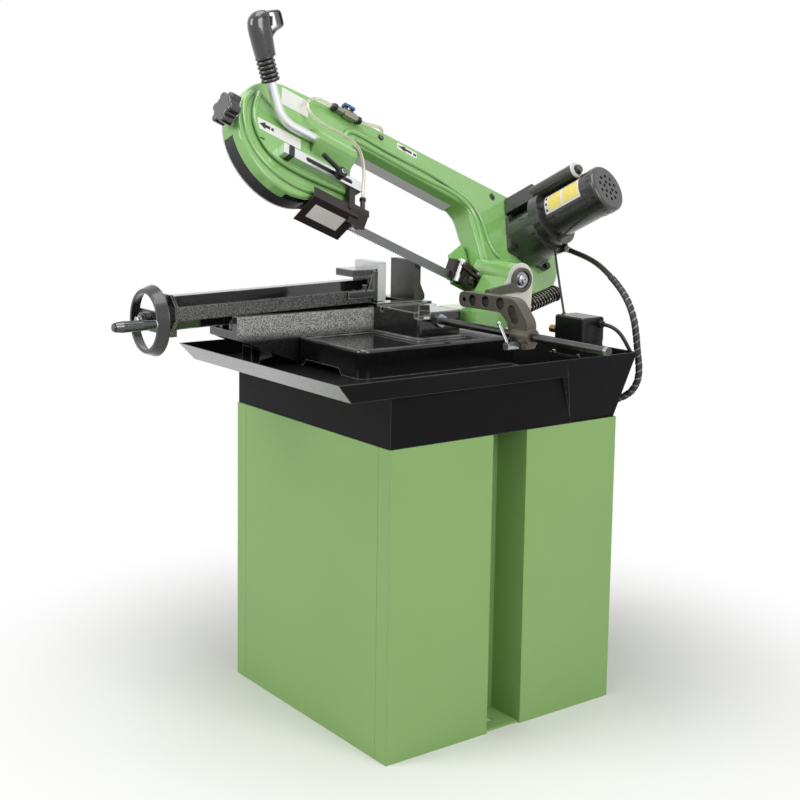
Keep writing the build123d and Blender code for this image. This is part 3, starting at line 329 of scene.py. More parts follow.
# The same enamel on the bed's rough as-cast side, with painted glints in its colour that set in above a
# height, drawn coarser than real to show.
ROUGH_CAST = Finish(
    "black_enamel_on_rough_iron", "#101010", "#1a1a1a", 0.30, Making.CAST, 3.2, 0.25,
    coat=0.4, round_mm=2.0, patch_mm=30.0, glint="#d6d6d3", glint_fade=(742.0, 762.0),
)
# The same rough skin on the beam's side, with darker painted glints for the shade it stands in: dark with
# scattered painted glints.
ROUGH_BEAM = Finish(
    "black_enamel_on_rough_beam", "#101010", "#1a1a1a", 0.28, Making.CAST, 3.2, 0.25,
    coat=0.2, round_mm=2.0, patch_mm=30.0, glint="#8e8e8c", glint_mm=1.7, glint_from=0.42,
)
# The same enamel on the handwheel's turned rim: smooth and darkly shiny.
WHEEL_ENAMEL = Finish(
    "black_enamel_on_turned_iron", "#262625", "#2e2e2d", 0.26, Making.SPRAYED, 4.0, 0.02,
    coat=0.3, round_mm=1.5, patch_mm=40.0, edge_wear_and_highlight="#7a7a78", edge_wear_and_highlight_mm=0.8,
)
# Powder coat on the tray's sheet: satin black that only shines at a low angle, with painted highlights along
# its edges in its pale edge colour.
BLACK_POWDER = Finish(
    "black_powder_coat_on_sheet", "#0f0f0f", "#151515", 0.40, Making.SPRAYED, 2.4, 0.03,
    round_mm=1.5, patch_mm=160.0, edge_wear_and_highlight="#8e8e8a", edge_wear_and_highlight_mm=2.4, specular=0.08,
)
# The same coat on the tray's front flare, glossier, with a painted sheen: a lighter grey colour for the pale
# floor's reflection.
PAINTED_SHEEN_POWDER = Finish(
    "black_powder_coat_with_painted_sheen", "#3a3a39", "#444443", 0.30, Making.SPRAYED, 2.4, 0.02,
    round_mm=1.5, patch_mm=200.0, coat=0.9, specular=0.9,
)
# Black enamel on the motor's rolled shell and die-cast ends: smooth, with a faint orange peel.
MOTOR_ENAMEL = Finish(
    "black_enamel_on_motor", "#2c2c2b", "#343433", 0.26, Making.SPRAYED, 2.6, 0.05,
    coat=0.5, round_mm=2.0, patch_mm=70.0,
)
# Surface-ground steel: grey with straight grinding lines and a light oil film.
GROUND_STEEL = Finish(
    "ground_steel", "#cdcecf", "#bdbebf", 0.34, Making.GROUND_ALONG_X, 0.9, 0.012,
    metallic=1.0, round_mm=0.8, patch_mm=25.0,
)
# Bright bar left as drawn and oiled: dark grey with lines along its length.
DARK_BAR = Finish(
    "oiled_drawn_bar", "#5d5d5c", "#4a4a49", 0.30, Making.GROUND_ALONG_X, 1.0, 0.012,
    metallic=1.0, round_mm=0.6, patch_mm=25.0,
)
# Rolled and hardened band steel: brushed along its length.
BAND_STEEL = Finish(
    "rolled_band_steel", "#7c7d7e", "#6d6e6f", 0.34, Making.GROUND_ALONG_Y, 1.2, 0.01, "steel",
    metallic=1.0, patch_mm=30.0,
)
# Phosphated steel: near black, dull, with a grey bloom on rubbed edges.
PHOSPHATED = Finish(
    "phosphated_steel", "#34332f", "#45443f", 0.42, Making.CAST, 1.6, 0.03, "black_steel",
    metallic=0.75, round_mm=1.2, edge_wear_and_highlight="#8a8984", edge_wear_and_highlight_mm=0.8, patch_mm=18.0,
)
# Hot-rolled bar under a thin varnish: brownish grey.
VARNISHED = Finish(
    "varnished_rolled_steel", "#5f5b51", "#504d44", 0.38, Making.CAST, 2.4, 0.04,
    metallic=0.5, round_mm=1.2, edge_wear_and_highlight="#b4b2a8", edge_wear_and_highlight_mm=0.8, patch_mm=22.0,
)
# Spring wire, oil tempered: dark grey with a hard highlight along each turn.
SPRING_WIRE = Finish(
    "oil_tempered_wire", "#625e58", "#4e4b46", 0.18, Making.MOULDED, 1.2, 0.01, "black_steel",
    metallic=0.9, patch_mm=14.0,
)
# Zinc plate over turned steel: bright and cool, with fine turning marks.
ZINC = Finish(
    "zinc_plated_steel", "#b0b2b4", "#979a9c", 0.26, Making.GROUND_ALONG_X, 0.8, 0.01, "steel",
    metallic=1.0, round_mm=0.6, patch_mm=20.0,
)
# Drawn aluminium tube and bar: pale silver with a soft sheen.
ALUMINIUM = Finish(
    "drawn_aluminium", "#e2e3e4", "#d6d7d8", 0.38, Making.GROUND_ALONG_Y, 0.9, 0.008,
    metallic=1.0, round_mm=0.8, patch_mm=30.0,
)
# Ground steel of the fixed jaw with painted shade: a darker grey copy of the ground steel, with straight
# lines.
SHADED_GROUND_STEEL = Finish(
    "ground_steel_with_painted_shade", "#5a5a59", "#4a4a49", 0.36, Making.GROUND_ALONG_X, 0.9, 0.012,
    metallic=1.0, round_mm=0.8, patch_mm=30.0,
)
# Polished blackened steel of the crank's grip: dark, with hard bright reflections.
POLISHED = Finish(
    "polished_black_steel", "#5c5c5c", "#505050", 0.12, Making.GROUND_ALONG_Y, 0.8, 0.004,
    metallic=1.0, round_mm=0.6, patch_mm=20.0,
)
# Bead-blasted machined face left bare: an even off-white grey.
BARE_FACE = Finish(
    "bare_machined_face", "#e8e7de", "#dcdbd2", 0.45, Making.CAST, 1.2, 0.015, metallic=0.3,
)
# Dark enamel on the guide's sheet and blocks: brown-black satin.
GUIDE_ENAMEL = Finish(
    "brown_black_enamel", "#2a2321", "#332b28", 0.36, Making.SPRAYED, 2.0, 0.03,
    round_mm=1.2, edge_wear_and_highlight="#7b746e", edge_wear_and_highlight_mm=0.8, patch_mm=25.0, specular=0.35,
)
# Glass-filled nylon, moulded: charcoal with a soft satin and a spark-eroded skin.
NYLON = Finish(
    "moulded_black_nylon", "#202020", "#292929", 0.38, Making.MOULDED, 1.3, 0.03, "black_plastic",
    round_mm=1.8, patch_mm=35.0, edge_wear_and_highlight="#444444", specular=0.4,
)
# Polished plastic of the grip and the knob: black with a clear bright highlight.
GLOSS_PLASTIC = Finish(
    "polished_black_plastic", "#1e1e1e", "#272727", 0.18, Making.MOULDED, 4.0, 0.012, "black_plastic",
    round_mm=2.0, patch_mm=40.0, coat=0.7, specular=0.6,
)
# Moulded switch housing: smooth black polycarbonate with clear reflections.
SWITCH_PLASTIC = Finish(
    "moulded_black_polycarbonate", "#131313", "#191919", 0.24, Making.MOULDED, 1.6, 0.015,
    round_mm=1.2, patch_mm=40.0, specular=0.35,
)
# Soft rubber of the boot: black, with a moist highlight on each rib.
RUBBER = Finish(
    "moulded_rubber", "#1a1a1a", "#222222", 0.20, Making.MOULDED, 1.0, 0.01, "rubber",
    patch_mm=15.0, coat=0.5,
)
# Cable jacket in PVC: black with a low sheen.
JACKET = Finish(
    "extruded_cable_jacket", "#1c1c1c", "#252525", 0.36, Making.MOULDED, 1.2, 0.015, "rubber",
    patch_mm=20.0, specular=0.4,
)
# Pale grey jacket of the cable inside its spiral wrap: matt.
PALE_JACKET = Finish(
    "grey_cable_jacket", "#8f8f8b", "#858581", 0.42, Making.MOULDED, 1.2, 0.015, "rubber", patch_mm=20.0,
)
# Turned brass: warm yellow and bright.
BRASS = Finish(
    "turned_brass", "#c9ad72", "#b3965b", 0.28, Making.GROUND_ALONG_X, 0.7, 0.008,
    metallic=1.0, round_mm=0.5, patch_mm=10.0,
)
# Nickel-plated brass of the valve's body: pale warm silver.
NICKEL = Finish(
    "nickel_plated_brass", "#a29d92", "#8b867a", 0.24, Making.GROUND_ALONG_X, 0.7, 0.008,
    metallic=1.0, round_mm=0.5, patch_mm=10.0,
)
# Moulded blue nylon of the valve's lever: even, with a soft satin.
BLUE_NYLON = Finish(
    "moulded_blue_nylon", "#2f5c93", "#274f82", 0.34, Making.MOULDED, 1.0, 0.01,
    round_mm=0.8, patch_mm=12.0,
)
# Moulded white nylon of the capacitor's ring and the cable's bush: warm white satin.
WHITE_NYLON = Finish(
    "moulded_white_nylon", "#dcdad2", "#d0cec6", 0.36, Making.MOULDED, 1.0, 0.01, "aluminium",
    round_mm=0.5, patch_mm=12.0,
)
# Soft clear PVC hose that has yellowed a little: milky, with a wet highlight.
CLEAR_HOSE = Finish(
    "clear_pvc_hose", "#f2eede", "#e6e0c8", 0.16, Making.MOULDED, 1.5, 0.01, "clear_hose",
    transmission=0.7, patch_mm=20.0,
)
# Machined grey iron of the band wheels: dull grey with a fine open grain.
GREY_IRON = Finish(
    "machined_grey_iron", "#6d6d6c", "#5c5c5b", 0.42, Making.CAST, 1.5, 0.03,
    metallic=0.9, round_mm=0.8, patch_mm=18.0,
)
# Plain film: white and yellow polyester with a low gloss, and matt black ink.
WHITE_FILM = Finish(
    "white_polyester_film", "#eceae4", "#e2e0da", 0.30, Making.SPRAYED, 3.0, 0.005, "aluminium",
    patch_mm=30.0,
)
YELLOW_FILM = Finish(
    "yellow_polyester_film", "#f6e178", "#efd96c", 0.30, Making.SPRAYED, 3.0, 0.005, "aluminium",
    patch_mm=30.0,
)
BLACK_INK = Finish(
    "black_ink_on_film", "#1a1a1a", "#202020", 0.40, Making.SPRAYED, 2.0, 0.004, "black_plastic",
    patch_mm=30.0,
)
# Anodised plate, plain: silver grey.
PLAIN_PLATE = Finish(
    "anodised_plate", "#e6e6e2", "#d9d9d5", 0.35, Making.GROUND_ALONG_Y, 0.8, 0.008, "aluminium",
    metallic=0.4, patch_mm=25.0,
)


def metres(points: Sequence[Point]) -> list[Vector]:
    """Points in metres from points in millimetres."""
    return [Vector(point) * MM for point in points]


def along_axes(origin: Vector, axes: Sequence[Vector]) -> Matrix:
    """Placement at a point whose X, Y and Z run along three axes."""
    return Matrix.Translation(origin) @ Matrix(axes).transposed().to_4x4()


def facing(origin: Vector, axis: Vector) -> Matrix:
    """Placement at a point whose Z runs along an axis."""
    turn = axis.normalized().to_track_quat("Z", "Y").to_matrix().to_4x4()
    return Matrix.Translation(origin) @ turn


@dataclass(frozen=True)
class BowFrame:
    """The tilted frame in which the bow is drawn: p along the band, q across, r out of its face."""

    origin: Point = (-75.0, -116.0, 957.0)
    drop_deg: float = 23.4
    lean_deg: float = 30.0

    def axes(self) -> tuple[Vector, Vector, Vector]:
        """Directions of the frame.

        Returns:
            Unit vectors along p, q and r.
        """
        drop, lean = math.radians(self.drop_deg), math.radians(self.lean_deg)
        along = Vector((0.0, math.cos(drop), -math.sin(drop)))
        out = Vector((math.cos(lean), math.sin(drop) * math.sin(lean), math.cos(drop) * math.sin(lean)))
        return along, out.cross(along), out

    def at(self, p: float, q: float, r: float) -> Vector:
        """Point in metres for a place in the bow's frame in millimetres."""
        along, across, out = self.axes()
        return (Vector(self.origin) + along * p + across * q + out * r) * MM

    def matrix(self, p: float, q: float, r: float) -> Matrix:
        """Placement whose X, Y and Z run along p, q and r."""
        return along_axes(self.at(p, q, r), self.axes())


BOW = BowFrame()


def placed(name: str, data: bpy.types.ID) -> Object:
    """New object in the scene.

    Args:
        name: Name of the object.
        data: Its mesh, curve, lamp or camera.

    Returns:
        The object, at the origin.
    """
    obj = bpy.data.objects.new(name, data)
    bpy.context.scene.collection.objects.link(obj)
    return obj


def to_mesh(bm: BMesh, name: str) -> bpy.types.Mesh:
    """Turns a closed bmesh into a mesh whose faces point out.

    Args:
        bm: Mesh in the shared frame, in metres; it is freed.
        name: Name of the mesh.

    Returns:
        The new mesh.
    """
    bmesh.ops.recalc_face_normals(bm, faces=bm.faces)
    mesh = bpy.data.meshes.new(name)
    bm.to_mesh(mesh)
    bm.free()
    return mesh


def ring_loft(bm: BMesh, rings: Sequence[Sequence[Vector]], closed: bool = False) -> None:
    """Skins a row of rings with quads and caps its ends.

    Args:
        bm: Mesh that takes the faces.
        rings: Rings of points, all of one count.
        closed: Whether the last ring joins the first.
    """
    made = [[bm.verts.new(point) for point in ring] for ring in rings]
    pairs = list(zip(made, made[1:]))
    if closed:
        pairs.append((made[-1], made[0]))
    count = len(made[0])
    for low, high in pairs:
        for i in range(count):
            j = (i + 1) % count
            bm.faces.new((low[i], low[j], high[j], high[i]))
    if not closed:
        bm.faces.new(list(reversed(made[0])))
        bm.faces.new(made[-1])


def circle(place: Matrix, radius: float, height: float, sides: int) -> list[Vector]:
    """Ring of points about the Z axis of a placement.

    Args:
        place: Placement in metres.
        radius: Radius in millimetres.
        height: Place along Z in millimetres.
        sides: Number of points.

    Returns:
        The ring in metres.
    """
    ring = []
    for side in range(sides):
        a = TURN * side / sides
        ring.append(place @ (Vector((radius * math.cos(a), radius * math.sin(a), height)) * MM))
    return ring


def add_turned(bm: BMesh, place: Matrix, profile: Profile, sides: int) -> None:
    """Turns a profile of radius and height pairs in millimetres about the Z axis of a placement."""
    ring_loft(bm, [circle(place, radius, height, sides) for radius, height in profile])


def add_plate(bm: BMesh, place: Matrix, outline: Profile, thick_mm: float) -> None:
    """Flat plate of an outline, with a small chamfer round its upper edge.

    Args:
        bm: Mesh that takes the faces.
        place: Placement in metres whose Z is the plate's normal.
        outline: Corners in millimetres, anticlockwise.
        thick_mm: Thickness.
    """
    centre = Vector((sum(x for x, _ in outline), sum(y for _, y in outline), 0)) / len(outline)
    ease = min(EASE_MM, thick_mm * EASE_SHARE)
    rings = []
    for height, inset in ((0.0, 0.0), (thick_mm - ease, 0.0), (thick_mm, ease)):
        ring = []
        for x, y in outline:
            point = Vector((x, y, 0))
            inward = (centre - point).normalized() * inset
            ring.append(place @ ((point + inward + Vector((0, 0, height))) * MM))
        rings.append(ring)
    ring_loft(bm, rings)


def rounded(width: float, height: float, corner: float, steps: int = 5) -> list[Pair]:
    """Rectangle with rounded corners about the origin.

    Args:
        width: Size along X in millimetres.
        height: Size along Y in millimetres.
        corner: Corner radius in millimetres.
        steps: Points in each corner.

    Returns:
        Corners, anticlockwise.
    """
    points = []
    for turn, (sx, sy) in enumerate(((1, 1), (-1, 1), (-1, -1), (1, -1))):
        for step in range(steps):
            a = math.pi / 2 * (turn + step / (steps - 1))
            x = sx * (width / 2 - corner) + corner * math.cos(a)
            y = sy * (height / 2 - corner) + corner * math.sin(a)
            points.append((x, y))
    return points


def carved(solid: BMesh, cutter: BMesh) -> BMesh:
    """Cuts one closed mesh out of another.

    Args:
        solid: Mesh that is cut; it is freed.
        cutter: Mesh that is taken away; it is freed.

    Returns:
        The cut mesh.
    """
    pair = [placed("carving", to_mesh(bm, "carving")) for bm in (solid, cutter)]
    cut = pair[0].modifiers.new("cut", "BOOLEAN")
    cut.operation = "DIFFERENCE"
    cut.object = pair[1]
    result = bmesh.new()
    result.from_object(pair[0], bpy.context.evaluated_depsgraph_get())
    for obj in pair:
        bpy.data.objects.remove(obj)
    return result


class Head(Enum):
    """Shapes of screw head: turned parts, each a count of sides and shares of radius and height."""

    HEX = ((24, ((1.12, 0.0), (1.12, 0.15))), (6, ((1.0, 0.15), (1.0, 0.86), (0.84, 1.0))))
    SOCKET = ((24, ((1.0, 0.0), (1.0, 0.85), (0.88, 1.0), (0.55, 1.0), (0.55, 0.35))),)
    PAN = ((20, ((1.0, 0.0), (0.95, 0.4), (0.7, 0.8), (0.3, 1.0))),)


@dataclass(frozen=True)
class Screw:
    """A screw head that shows on the surface."""

    radius_mm: float
    height_mm: float
    head: Head

    def build(self, bm: BMesh, place: Matrix) -> None:
        """Adds the head to a mesh at a placement on its seat, whose Z points out."""
        for sides, shape in self.head.value:
            add_turned(bm, place, [(self.radius_mm * u, self.height_mm * v) for u, v in shape], sides)


@dataclass
class Piece:
    """A mesh that is added to the frame with its finish; its slot is kept but not applied."""

    name: str
    body: str
    finish: Finish
    slot: str = ""

    def link(self, mesh: bpy.types.Mesh, smooth_deg: float) -> Object:
        """Puts a mesh in the scene with its finish.

        Args:
            mesh: Mesh in the shared frame, in metres.
            smooth_deg: Angle above which an edge stays sharp.

        Returns:
            The new object, not yet on a body.
        """
        obj = placed(self.name, mesh)
        mesh.materials.clear()
        mesh.materials.append(self.finish.build())
        mesh.shade_smooth()
        mesh.set_sharp_from_angle(angle=math.radians(smooth_deg))
        LOG.info("piece %s on %s", self.name, self.body)
        return obj

    def ride(self, bm: BMesh, smooth_deg: float = SMOOTH_DEG) -> Object:
        """Turns a bmesh, which is freed, into a piece that rides on its body."""
        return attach(self.link(to_mesh(bm, self.name), smooth_deg), self.body)

    def turned(
        self, profile: Profile, *places: Matrix, sides: int = 32, smooth_deg: float = SMOOTH_DEG
    ) -> Object:
        """Makes the piece by turning a profile at each of some places.

        Args:
            profile: Radius and height pairs in millimetres, from end to end.
            places: Placements in metres, whose Z is the axis.
            sides: Number of sides.
            smooth_deg: Angle above which an edge stays sharp.

        Returns:
            The riding object.
        """
        bm = bmesh.new()
        for place in places:
            add_turned(bm, place, profile, sides)
        return self.ride(bm, smooth_deg)

    def plates(self, place: Matrix, thick_mm: float, *outlines: Profile) -> Object:
        """Makes the piece of flat plates at one place.

        Args:
            place: Placement in metres whose Z is the plates' normal.
            thick_mm: Thickness.
            outlines: Corners of each plate in millimetres, anticlockwise.

        Returns:
            The riding object.
        """
        bm = bmesh.new()
        for outline in outlines:
            add_plate(bm, place, outline, thick_mm)
        return self.ride(bm)

    def screws(self, screw: Screw, *places: Matrix) -> Object:
        """Makes the piece of screw heads.

        Args:
            screw: The kind of screw.
            places: Placements in metres, on the seats.

        Returns:
            The riding object.
        """
        bm = bmesh.new()
        for place in places:
            screw.build(bm, place)
        return self.ride(bm)


Finishes = tuple[tuple[Finish, tuple[str, ...]], ...]


@dataclass
class Dressing:
    """Finishes for the nodes of one sub-assembly."""

    finishes: Finishes = ()

    def dress(self, nodes: Nodes) -> None:
        """Gives each node its finish.

        Args:
            nodes: The frame's nodes by name.
        """
        for finish, names in self.finishes:
            for name in names:
                mesh = nodes[name].data
                mesh.materials.clear()
                mesh.materials.append(finish.build())
                LOG.info("node %s in %s", name, finish.name)

    def face_finish(self, node: Object, finish: Finish, chosen: Callable[[Vector, Vector], bool]) -> None:
        """Gives some faces of a node a finish of their own.

        Args:
            node: The node.
            finish: The other finish.
            chosen: Test of a face's centre in millimetres and its normal.
        """
        node.data.materials.append(finish.build())
        for face in node.data.polygons:
            if chosen(face.center / MM, face.normal):
                face.material_index = len(node.data.materials) - 1


@dataclass
class Stand(Dressing):
    """Cabinet and chip tray."""

    finishes: Finishes = (
        (GREEN_POWDER, ("cabinet_side_right", "cabinet_side_left")),
        (GREEN_POWDER, ("cabinet_front_panel", "cabinet_rear_panel")),
        (BLACK_POWDER, ("chip_tray",)),
    )
    tray_fold_mm: float = 640.0

    def faces(self, nodes: Nodes) -> None:
        """Gives the tray's front flare a painted sheen: a lighter, glossier copy of its black coat.

        Args:
            nodes: The frame's nodes by name.
        """
        self.face_finish(
            nodes["chip_tray"], PAINTED_SHEEN_POWDER,
            lambda at, out: out.y < -0.4 and out.z < -0.2 and at.z > self.tray_fold_mm,
        )


@dataclass
class Vise(Dressing):
    """Base casting, vise, its screw and handwheel."""

    finishes: Finishes = (
        (BLACK_CAST, ("base_casting", "vise_beam")),
        (ZINC, ("swivel_pin", "vise_screw")),
        (SHADED_GROUND_STEEL, ("fixed_jaw",)),
        (GROUND_STEEL, ("moving_jaw",)),
        (WHEEL_ENAMEL, ("vise_handwheel",)),
        (POLISHED, ("handwheel_grip",)),
    )
    bed_side_mm: float = -105.0
    bed_end_mm: float = -55.0
    beam_end_mm: float = -100.0
    wheel_centre: Point = (-160.0, -541.0, 791.0)
    hub_front_mm: float = 19.0
    hub_nut: Screw = Screw(11.0, 8.0, Head.HEX)
    crank_mm: float = 52.0
    boss_front_mm: float = 10.0
    collar: Profile = ((4.3, 0.0), (8.2, 0.0), (8.6, 0.5), (8.6, 2.2), (8.0, 2.8), (4.3, 2.8))

    def faces(self, nodes: Nodes) -> None:
        """Gives the bed's and the beam's outer sides the rough skin with its painted glints.

        Args:
            nodes: The frame's nodes by name.
        """
        self.face_finish(
            nodes["base_casting"], ROUGH_CAST,
            lambda at, out: out.x > 0.9 and abs(at.x - self.bed_side_mm) < 1.0 and at.y < self.bed_end_mm,
        )
        self.face_finish(
            nodes["vise_beam"], ROUGH_BEAM,
            lambda at, out: out.x > 0.6 and abs(out.z) < 0.3 and at.y < self.beam_end_mm,
        )

    def fittings(self) -> None:
        """Adds the hub's nut and the pale collar at the crank's foot."""
        centre = Vector(self.wheel_centre)
        hub = centre + FRONT * self.hub_front_mm
        Piece("handwheel_nut", "handwheel", ZINC).screws(self.hub_nut, facing(hub * MM, FRONT))
        foot = centre + RIGHT * self.crank_mm + FRONT * self.boss_front_mm
        Piece("crank_collar", "handwheel", ZINC).turned(self.collar, facing(foot * MM, FRONT))


@dataclass
class LengthStop(Dressing):
    """Rod, perforated arm and clamp lever of the length stop; holes by X, Z and radius."""

    finishes: Finishes = (
        (DARK_BAR, ("stop_rod",)),
        (VARNISHED, ("stop_arm",)),
        (ZINC, ("stop_lever", "base_fasteners")),
    )
    rod_end: Point = (525.0, -3.0, 780.0)
    cap_mm: float = 9.05
    cap: Profile = ((7.0, 0.0), (7.75, 0.3), (7.75, 7.6), (6.5, 9.0), (3.0, 9.0), (2.3, 8.0))
    holes: Route = (
        (141.0, 832.5, 5.0), (166.0, 833.5, 11.0), (204.0, 834.5, 11.0), (247.0, 835.0, 12.0),
        (280.2, 824.6, 11.0), (285.0, 817.0, 11.0), (289.8, 809.4, 11.0),
    )
    wall_mm: float = 0.6

    def faces(self, nodes: Nodes) -> None:
        """Paints the walls of the arm's holes in the darker phosphated finish, as painted shade in the holes.

        Args:
            nodes: The frame's nodes by name.
        """
        # The darker finish on the hole walls is painted shade
        self.face_finish(
            nodes["stop_arm"], PHOSPHATED,
            lambda at, out: abs(out.y) < 0.3
            and any(math.hypot(at.x - x, at.z - z) < radius + self.wall_mm for x, z, radius in self.holes),
        )

    def fittings(self) -> None:
        """Adds the bright chamfered cap on the rod's end."""
        seat = Vector(self.rod_end) - RIGHT * self.cap_mm
        Piece("rod_cap", "base", ZINC).turned(self.cap, facing(seat * MM, RIGHT))


@dataclass
class Switchgear(Dressing):
    """Switch box with its lid, bracket and glands."""

    finishes: Finishes = (
        (BLACK_POWDER, ("switch_bracket",)),
        (SWITCH_PLASTIC, ("switch_box", "switch_box_lid")),
        (NYLON, ("box_glands",)),
    )
    brass_end: Pair = (129.5, 768.0)

    def faces(self, nodes: Nodes) -> None:
        """Leaves the gland at the box's left in bare brass."""
        end, top = self.brass_end
        self.face_finish(nodes["box_glands"], BRASS, lambda at, out: at.x < end and at.z < top)


@dataclass
class Swivel(Dressing):
    """Swivel bracket with its pivot and return spring."""

    finishes: Finishes = (
        (CAST_ENAMEL, ("swivel_bracket",)),
        (ZINC, ("pivot_shaft",)),
        (VARNISHED, ("pivot_stay", "spring_rod")),
    )
    bare_x_mm: float = 36.0
    pivot_end: Point = (46.0, 225.0, 850.0)
    stub: Profile = (
        (11.8, -0.5), (11.8, 0.8), (10.6, 1.6), (8.0, 1.6), (7.2, 2.0), (7.2, 5.0), (6.2, 5.8), (2.4, 5.8),
        (0.8, 4.2),
    )
    spring_from: Point = (22.0, 243.0, 788.0)
    spring_pitch_deg: float = 15.0
    coil_radius_mm: float = 15.0
    wire_radius_mm: float = 2.6
    turns: int = 9
    pitch_mm: float = 8.2
    lead_in_mm: float = 19.6
    steps: int = 28
    sides: int = 12
    wire_smooth_deg: float = 50.0

    def faces(self, nodes: Nodes) -> None:
        """Leaves the upright's machined end unpainted.

        Args:
            nodes: The frame's nodes by name.
        """
        self.face_finish(
            nodes["swivel_bracket"], BARE_FACE,
            lambda at, out: abs(at.x - self.bare_x_mm) < 0.2 and out.x > 0.99,
        )

    def fittings(self) -> None:
        """Adds the turned stub on the pivot's end."""
        Piece("pivot_stub", "swivel", ZINC).turned(self.stub, facing(Vector(self.pivot_end) * MM, RIGHT))

    def spring(self) -> None:
        """Winds the return spring as one tube on a helix."""
        tilt = math.radians(self.spring_pitch_deg)
        along = Vector((0, math.cos(tilt), math.sin(tilt)))
        up = along.cross(RIGHT)
        start = Vector(self.spring_from) + along * self.lead_in_mm
        rise = self.pitch_mm / (TURN * self.coil_radius_mm)
        rings = []
        for step in range(self.turns * self.steps + 1):
            a = TURN * step / self.steps
            outward = RIGHT * math.cos(a) + up * math.sin(a)
            run = (up * math.cos(a) - RIGHT * math.sin(a) + along * rise).normalized()
            across = run.cross(outward)
            centre = start + outward * self.coil_radius_mm + along * (self.pitch_mm * step / self.steps)
            ring = []
            for i in range(self.sides):
                b = TURN * i / self.sides
                offset = (outward * math.cos(b) + across * math.sin(b)) * self.wire_radius_mm
                ring.append((centre + offset) * MM)
            rings.append(ring)
        bm = bmesh.new()
        ring_loft(bm, rings)
        coil = Piece("return_coil", "swivel", SPRING_WIRE).ride(bm, self.wire_smooth_deg)
        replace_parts(coil, "return_spring")


Station = tuple[Vector, float]


@dataclass(frozen=True)
class BandLoop:
    """Line of the saw band round its wheels, in the bow's p and q, and how far it is turned."""

    idler: Pair = (-200.0, 116.0)
    drive: Pair = (484.0, 162.0)
    radius: float = 100.45
    guides: Pair = (-66.0, 305.0)
    level: float = -0.45
    flat_mm: float = 32.0
    flat_deg: float = 90.0
    upright_deg: float = 30.0
    step_mm: float = 1.25

    def tangent(self, wheel: Vector, guide: Vector) -> Vector:
        """Point where the band leaves a wheel's lower side for a guide.

        Args:
            wheel: Centre of the wheel.
            guide: Place of the guide.

        Returns:
            The point on the wheel's rim.
        """
        line = guide - wheel
        reach = math.acos(self.radius / line.length)
        side = -1 if line.x > 0 else 1
        a = math.atan2(line.y, line.x) + side * reach
        return wheel + Vector((math.cos(a), math.sin(a))) * self.radius

    def straight(self, start: Vector, end: Vector, turns: Pair) -> list[Station]:
        """Stations along a straight run, without its last point.

        Args:
            start: First point.
            end: Last point.
            turns: How far the band is turned at each of them, in degrees.

        Returns:
            Place and turn of each station.
        """
        count = max(1, math.ceil((end - start).length / self.step_mm))
        shares = [i / count for i in range(count)]
        return [(start.lerp(end, share), turns[0] + share * (turns[1] - turns[0])) for share in shares]

    def round_wheel(self, centre: Vector, start: Vector, end: Vector) -> list[Station]:
        """Stations round a wheel's rim, without the last point.

        Args:
            centre: Centre of the wheel.
            start: First point.
            end: Last point.

        Returns:
            Place and turn of each station.
        """
        a, b = (math.atan2(v.y - centre.y, v.x - centre.x) for v in (start, end))
        sweep = (a - b) % TURN
        count = math.ceil(sweep * self.radius / self.step_mm)
        angles = [a - sweep * i / count for i in range(count)]
        return [(centre + Vector((math.cos(c), math.sin(c))) * self.radius, self.flat_deg) for c in angles]

    def stations(self) -> list[Station]:
        """Points and turns along the whole loop, top run first.

        Returns:
            Place in p and q, and turn in degrees, for each point.
        """
        idler, drive = Vector(self.idler), Vector(self.drive)
        run = (drive - idler).normalized()
        top = Vector((-run.y, run.x)) * self.radius
        front, rear = (Vector((p, self.level)) for p in self.guides)
        leave_front, leave_rear = self.tangent(idler, front), self.tangent(drive, rear)
        flat_front = leave_front + (front - leave_front).normalized() * self.flat_mm
        flat_rear = leave_rear + (rear - leave_rear).normalized() * self.flat_mm
        flat, upright = self.flat_deg, self.upright_deg
        return [
            *self.straight(idler + top, drive + top, (flat, flat)),
            *self.round_wheel(drive, drive + top, leave_rear),
            *self.straight(leave_rear, flat_rear, (flat, flat)),
            *self.straight(flat_rear, rear, (flat, upright)),
            *self.straight(rear, front, (upright, upright)),
            *self.straight(front, flat_front, (upright, flat)),
            *self.straight(flat_front, leave_front, (flat, flat)),
            *self.round_wheel(idler, leave_front, idler + top),
        ]


@dataclass(frozen=True)
class ArrowFilm:
    """White film with a plain black arrow that shows which way the band runs, in millimetres."""

    name: str
    at: Point
    size: Pair
    span: Pair
    head_half: float
    stem_half: float
    stem_shares: Point = (0.42, 0.76, 0.84)
    corner: float = 1.5
    thick: float = 0.3
    ink_at: float = 0.32
    ink: float = 0.12

    def build(self) -> None:
        """Adds the film, and on it the arrow, whose stem has a gap before its end."""
        place = BOW.matrix(*self.at)
        Piece(self.name, "bow", WHITE_FILM).plates(place, self.thick, rounded(*self.size, self.corner))
        tip, end = self.span
        neck, gap, tail = (tip + (end - tip) * share for share in self.stem_shares)
        half, stem = self.head_half, self.stem_half
        shapes = [[(tip, 0.0), (neck, -half), (neck, half)]]
        for low, high in ((neck, gap), (tail, end)):
            shapes.append([(low, -stem), (high, -stem), (high, stem), (low, stem)])
        raised = place @ Matrix.Translation((0, 0, self.ink_at * MM))
        Piece(self.name + "_arrow", "bow", BLACK_INK).plates(raised, self.ink, *shapes)


